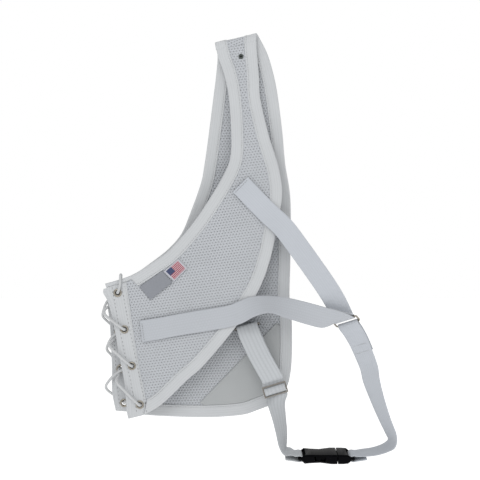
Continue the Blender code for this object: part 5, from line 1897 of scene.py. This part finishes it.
@dataclass
class Hardware:
    """The moulded buckle, from the solids' own shapes, and the pressed slide, both with rounded edges."""

    shop: Workshop
    nodes: dict[str, bpy.types.Object]
    flat_angle: float = math.radians(2.0)
    edge_angle: float = math.radians(28.0)
    slide_half_width: float = 0.0145
    slide_pitch: float = 0.0060
    slide_bar: float = 0.0016
    moulded_round: float = 0.0005
    pressed_round: float = 0.00045

    def soften(self, name: str, bm: bmesh.types.BMesh, finish: Finish, radius: float) -> None:
        """Round the sharp edges of a shape and keep it.

        Args:
            name: The node it stands for.
            bm: The shape.
            finish: What it is made of.
            radius: How far the rounding reaches.
        """
        edges = [
            edge for edge in bm.edges
            if edge.is_manifold and edge.calc_face_angle(0.0) > self.edge_angle
        ]
        bmesh.ops.bevel(
            bm, geom=edges, offset=radius, offset_type="OFFSET", segments=3, profile=0.5,
            affect="EDGES", material=-1, clamp_overlap=True, miter_outer="ARC",
        )
        bm.loops.layers.uv.verify()
        self.shop.keep(name, bm, finish, [name], sharp=40.0)

    def slide(self, name: str, finish: Finish, radius: float) -> None:
        """Press the slide from a plate of square cells, so that both its slots stay open.

        Args:
            name: The node it stands for.
            finish: Its metal.
            radius: How far the rounding reaches.
        """
        long_way = Vector((math.cos(SLIDE_TURN), 0.0, math.sin(SLIDE_TURN)))
        up_way = Vector((-math.sin(SLIDE_TURN), 0.0, math.cos(SLIDE_TURN)))
        centre, deep, half = place_of(SLIDE_CENTRE), Vector((0.0, 1.0, 0.0)), self.slide_bar / 2.0
        slot = self.slide_half_width - self.slide_bar
        runs = (-self.slide_half_width, -slot, slot, self.slide_half_width)
        rises = [level * self.slide_pitch + side * half for level in (-1, 0, 1) for side in (-1, 1)]
        bm = bmesh.new()
        near, far = (
            [
                [bm.verts.new(centre + long_way * run + up_way * rise + deep * side) for run in runs]
                for rise in rises
            ]
            for side in (-half, half)
        )
        twin = {first: second for low, high in zip(near, far) for first, second in zip(low, high)}
        for row in range(len(rises) - 1):
            for column in range(len(runs) - 1):
                if column == 1 and row % 2 == 1:
                    continue
                low, high = near[row], near[row + 1]
                corners = (low[column], low[column + 1], high[column + 1], high[column])
                bm.faces.new(corners)
                bm.faces.new([twin[corner] for corner in reversed(corners)])
        rims = [edge for edge in bm.edges if edge.is_boundary and edge.verts[0] in twin]
        for first, second in [tuple(edge.verts) for edge in rims]:
            bm.faces.new((first, second, twin[second], twin[first]))
        bmesh.ops.recalc_face_normals(bm, faces=bm.faces)
        self.soften(name, bm, finish, radius)

    def rounded(self, name: str, finish: Finish, radius: float) -> None:
        """Round the edges of a copy of a solid.

        Args:
            name: The solid's node.
            finish: What it is made of.
            radius: How far the rounding reaches.
        """
        bm = bmesh.new()
        bm.from_mesh(self.nodes[name].data)
        bmesh.ops.remove_doubles(bm, verts=bm.verts, dist=0.00001)
        bmesh.ops.dissolve_limit(bm, angle_limit=self.flat_angle, verts=bm.verts, edges=bm.edges)
        self.soften(name, bm, finish, radius)

    def build(self) -> None:
        """Make the buckle's halves and the slide."""
        self.rounded("buckle_socket", BLACK, self.moulded_round)
        self.rounded("buckle_plug", BLACK, self.moulded_round)
        self.slide("strap_slide", DULL_WIRE, self.pressed_round)


@dataclass(frozen=True)
class Studio:
    """A pale floor, soft light and the camera of the picture."""

    camera_place: tuple[float, float, float] = (-0.00119, -1.200, -0.2178)
    frame_width: float = 0.5712
    floor_height: float = -0.640
    floor_reach: float = 6.0
    room_light: float = 0.60

    def build(self) -> None:
        """Set the stage."""
        scene = bpy.context.scene
        scene.view_settings.view_transform = "Standard"
        self.world(scene)
        self.floor()
        self.lamp("key", (-0.45, -1.35, 0.75), 1.2, 10.8)
        self.lamp("fill", (1.2, -1.1, 0.3), 1.4, 3.0)
        data = bpy.data.cameras.new("camera")
        data.sensor_width = 36.0
        data.lens = 36.0 * -self.camera_place[1] / self.frame_width
        camera = bpy.data.objects.new("camera", data)
        camera.location = self.camera_place
        camera.rotation_euler = (math.radians(90.0), 0.0, 0.0)
        scene.collection.objects.link(camera)
        scene.camera = camera

    def world(self, scene: bpy.types.Scene) -> None:
        """Light everything evenly with white.

        Args:
            scene: The scene that gets the world.
        """
        world = bpy.data.worlds.new("white_room")
        world.use_nodes = True
        background = world.node_tree.nodes["Background"]
        background.inputs["Color"].default_value = (1.0, 1.0, 1.0, 1.0)
        rays = world.node_tree.nodes.new("ShaderNodeLightPath")
        level = world.node_tree.nodes.new("ShaderNodeMapRange")
        level.inputs["To Min"].default_value = self.room_light
        level.inputs["To Max"].default_value = 1.0
        world.node_tree.links.new(rays.outputs["Is Camera Ray"], level.inputs["Value"])
        world.node_tree.links.new(level.outputs["Result"], background.inputs["Strength"])
        scene.world = world

    def floor(self) -> None:
        """Lay the pale floor."""
        bm = bmesh.new()
        bmesh.ops.create_grid(bm, x_segments=4, y_segments=4, size=self.floor_reach)
        mesh = bpy.data.meshes.new("floor")
        bm.to_mesh(mesh)
        bm.free()
        mesh.transform(Matrix.Translation((0.0, 0.0, self.floor_height)))
        material, wiring, shader = start_material("pale_floor")
        shader.inputs["Base Color"].default_value = (0.93, 0.93, 0.93, 1.0)
        shader.inputs["Roughness"].default_value = 0.9
        shader.inputs["Emission Color"].default_value = (1.0, 1.0, 1.0, 1.0)
        shader.inputs["Emission Strength"].default_value = 0.55
        mesh.materials.append(material)
        floor = bpy.data.objects.new("floor", mesh)
        bpy.context.scene.collection.objects.link(floor)

    def lamp(self, name: str, place: tuple[float, float, float], size: float, power: float) -> None:
        """Hang a soft lamp that points at the guard.

        Args:
            name: The lamp's name.
            place: Where it hangs.
            size: The side of its square, in metres.
            power: Its power, in watts.
        """
        data = bpy.data.lights.new(name, "AREA")
        data.size = size
        data.energy = power
        lamp = bpy.data.objects.new(name, data)
        lamp.location = place
        aim = Vector((0.0, 0.0, -0.22)) - Vector(place)
        lamp.rotation_euler = aim.to_track_quat("-Z", "Y").to_euler()
        bpy.context.scene.collection.objects.link(lamp)


def main() -> None:
    """Load the frame and build the guard."""
    logging.basicConfig(level=logging.INFO, format="%(name)s %(message)s")
    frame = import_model()
    shop = Workshop()
    Panels(shop).build()
    Labels(shop).build()
    Lacing(shop).build()
    Harness(shop).build()
    Hardware(shop, frame["nodes"]).build()
    Studio().build()


if __name__ == "__main__":
    main()
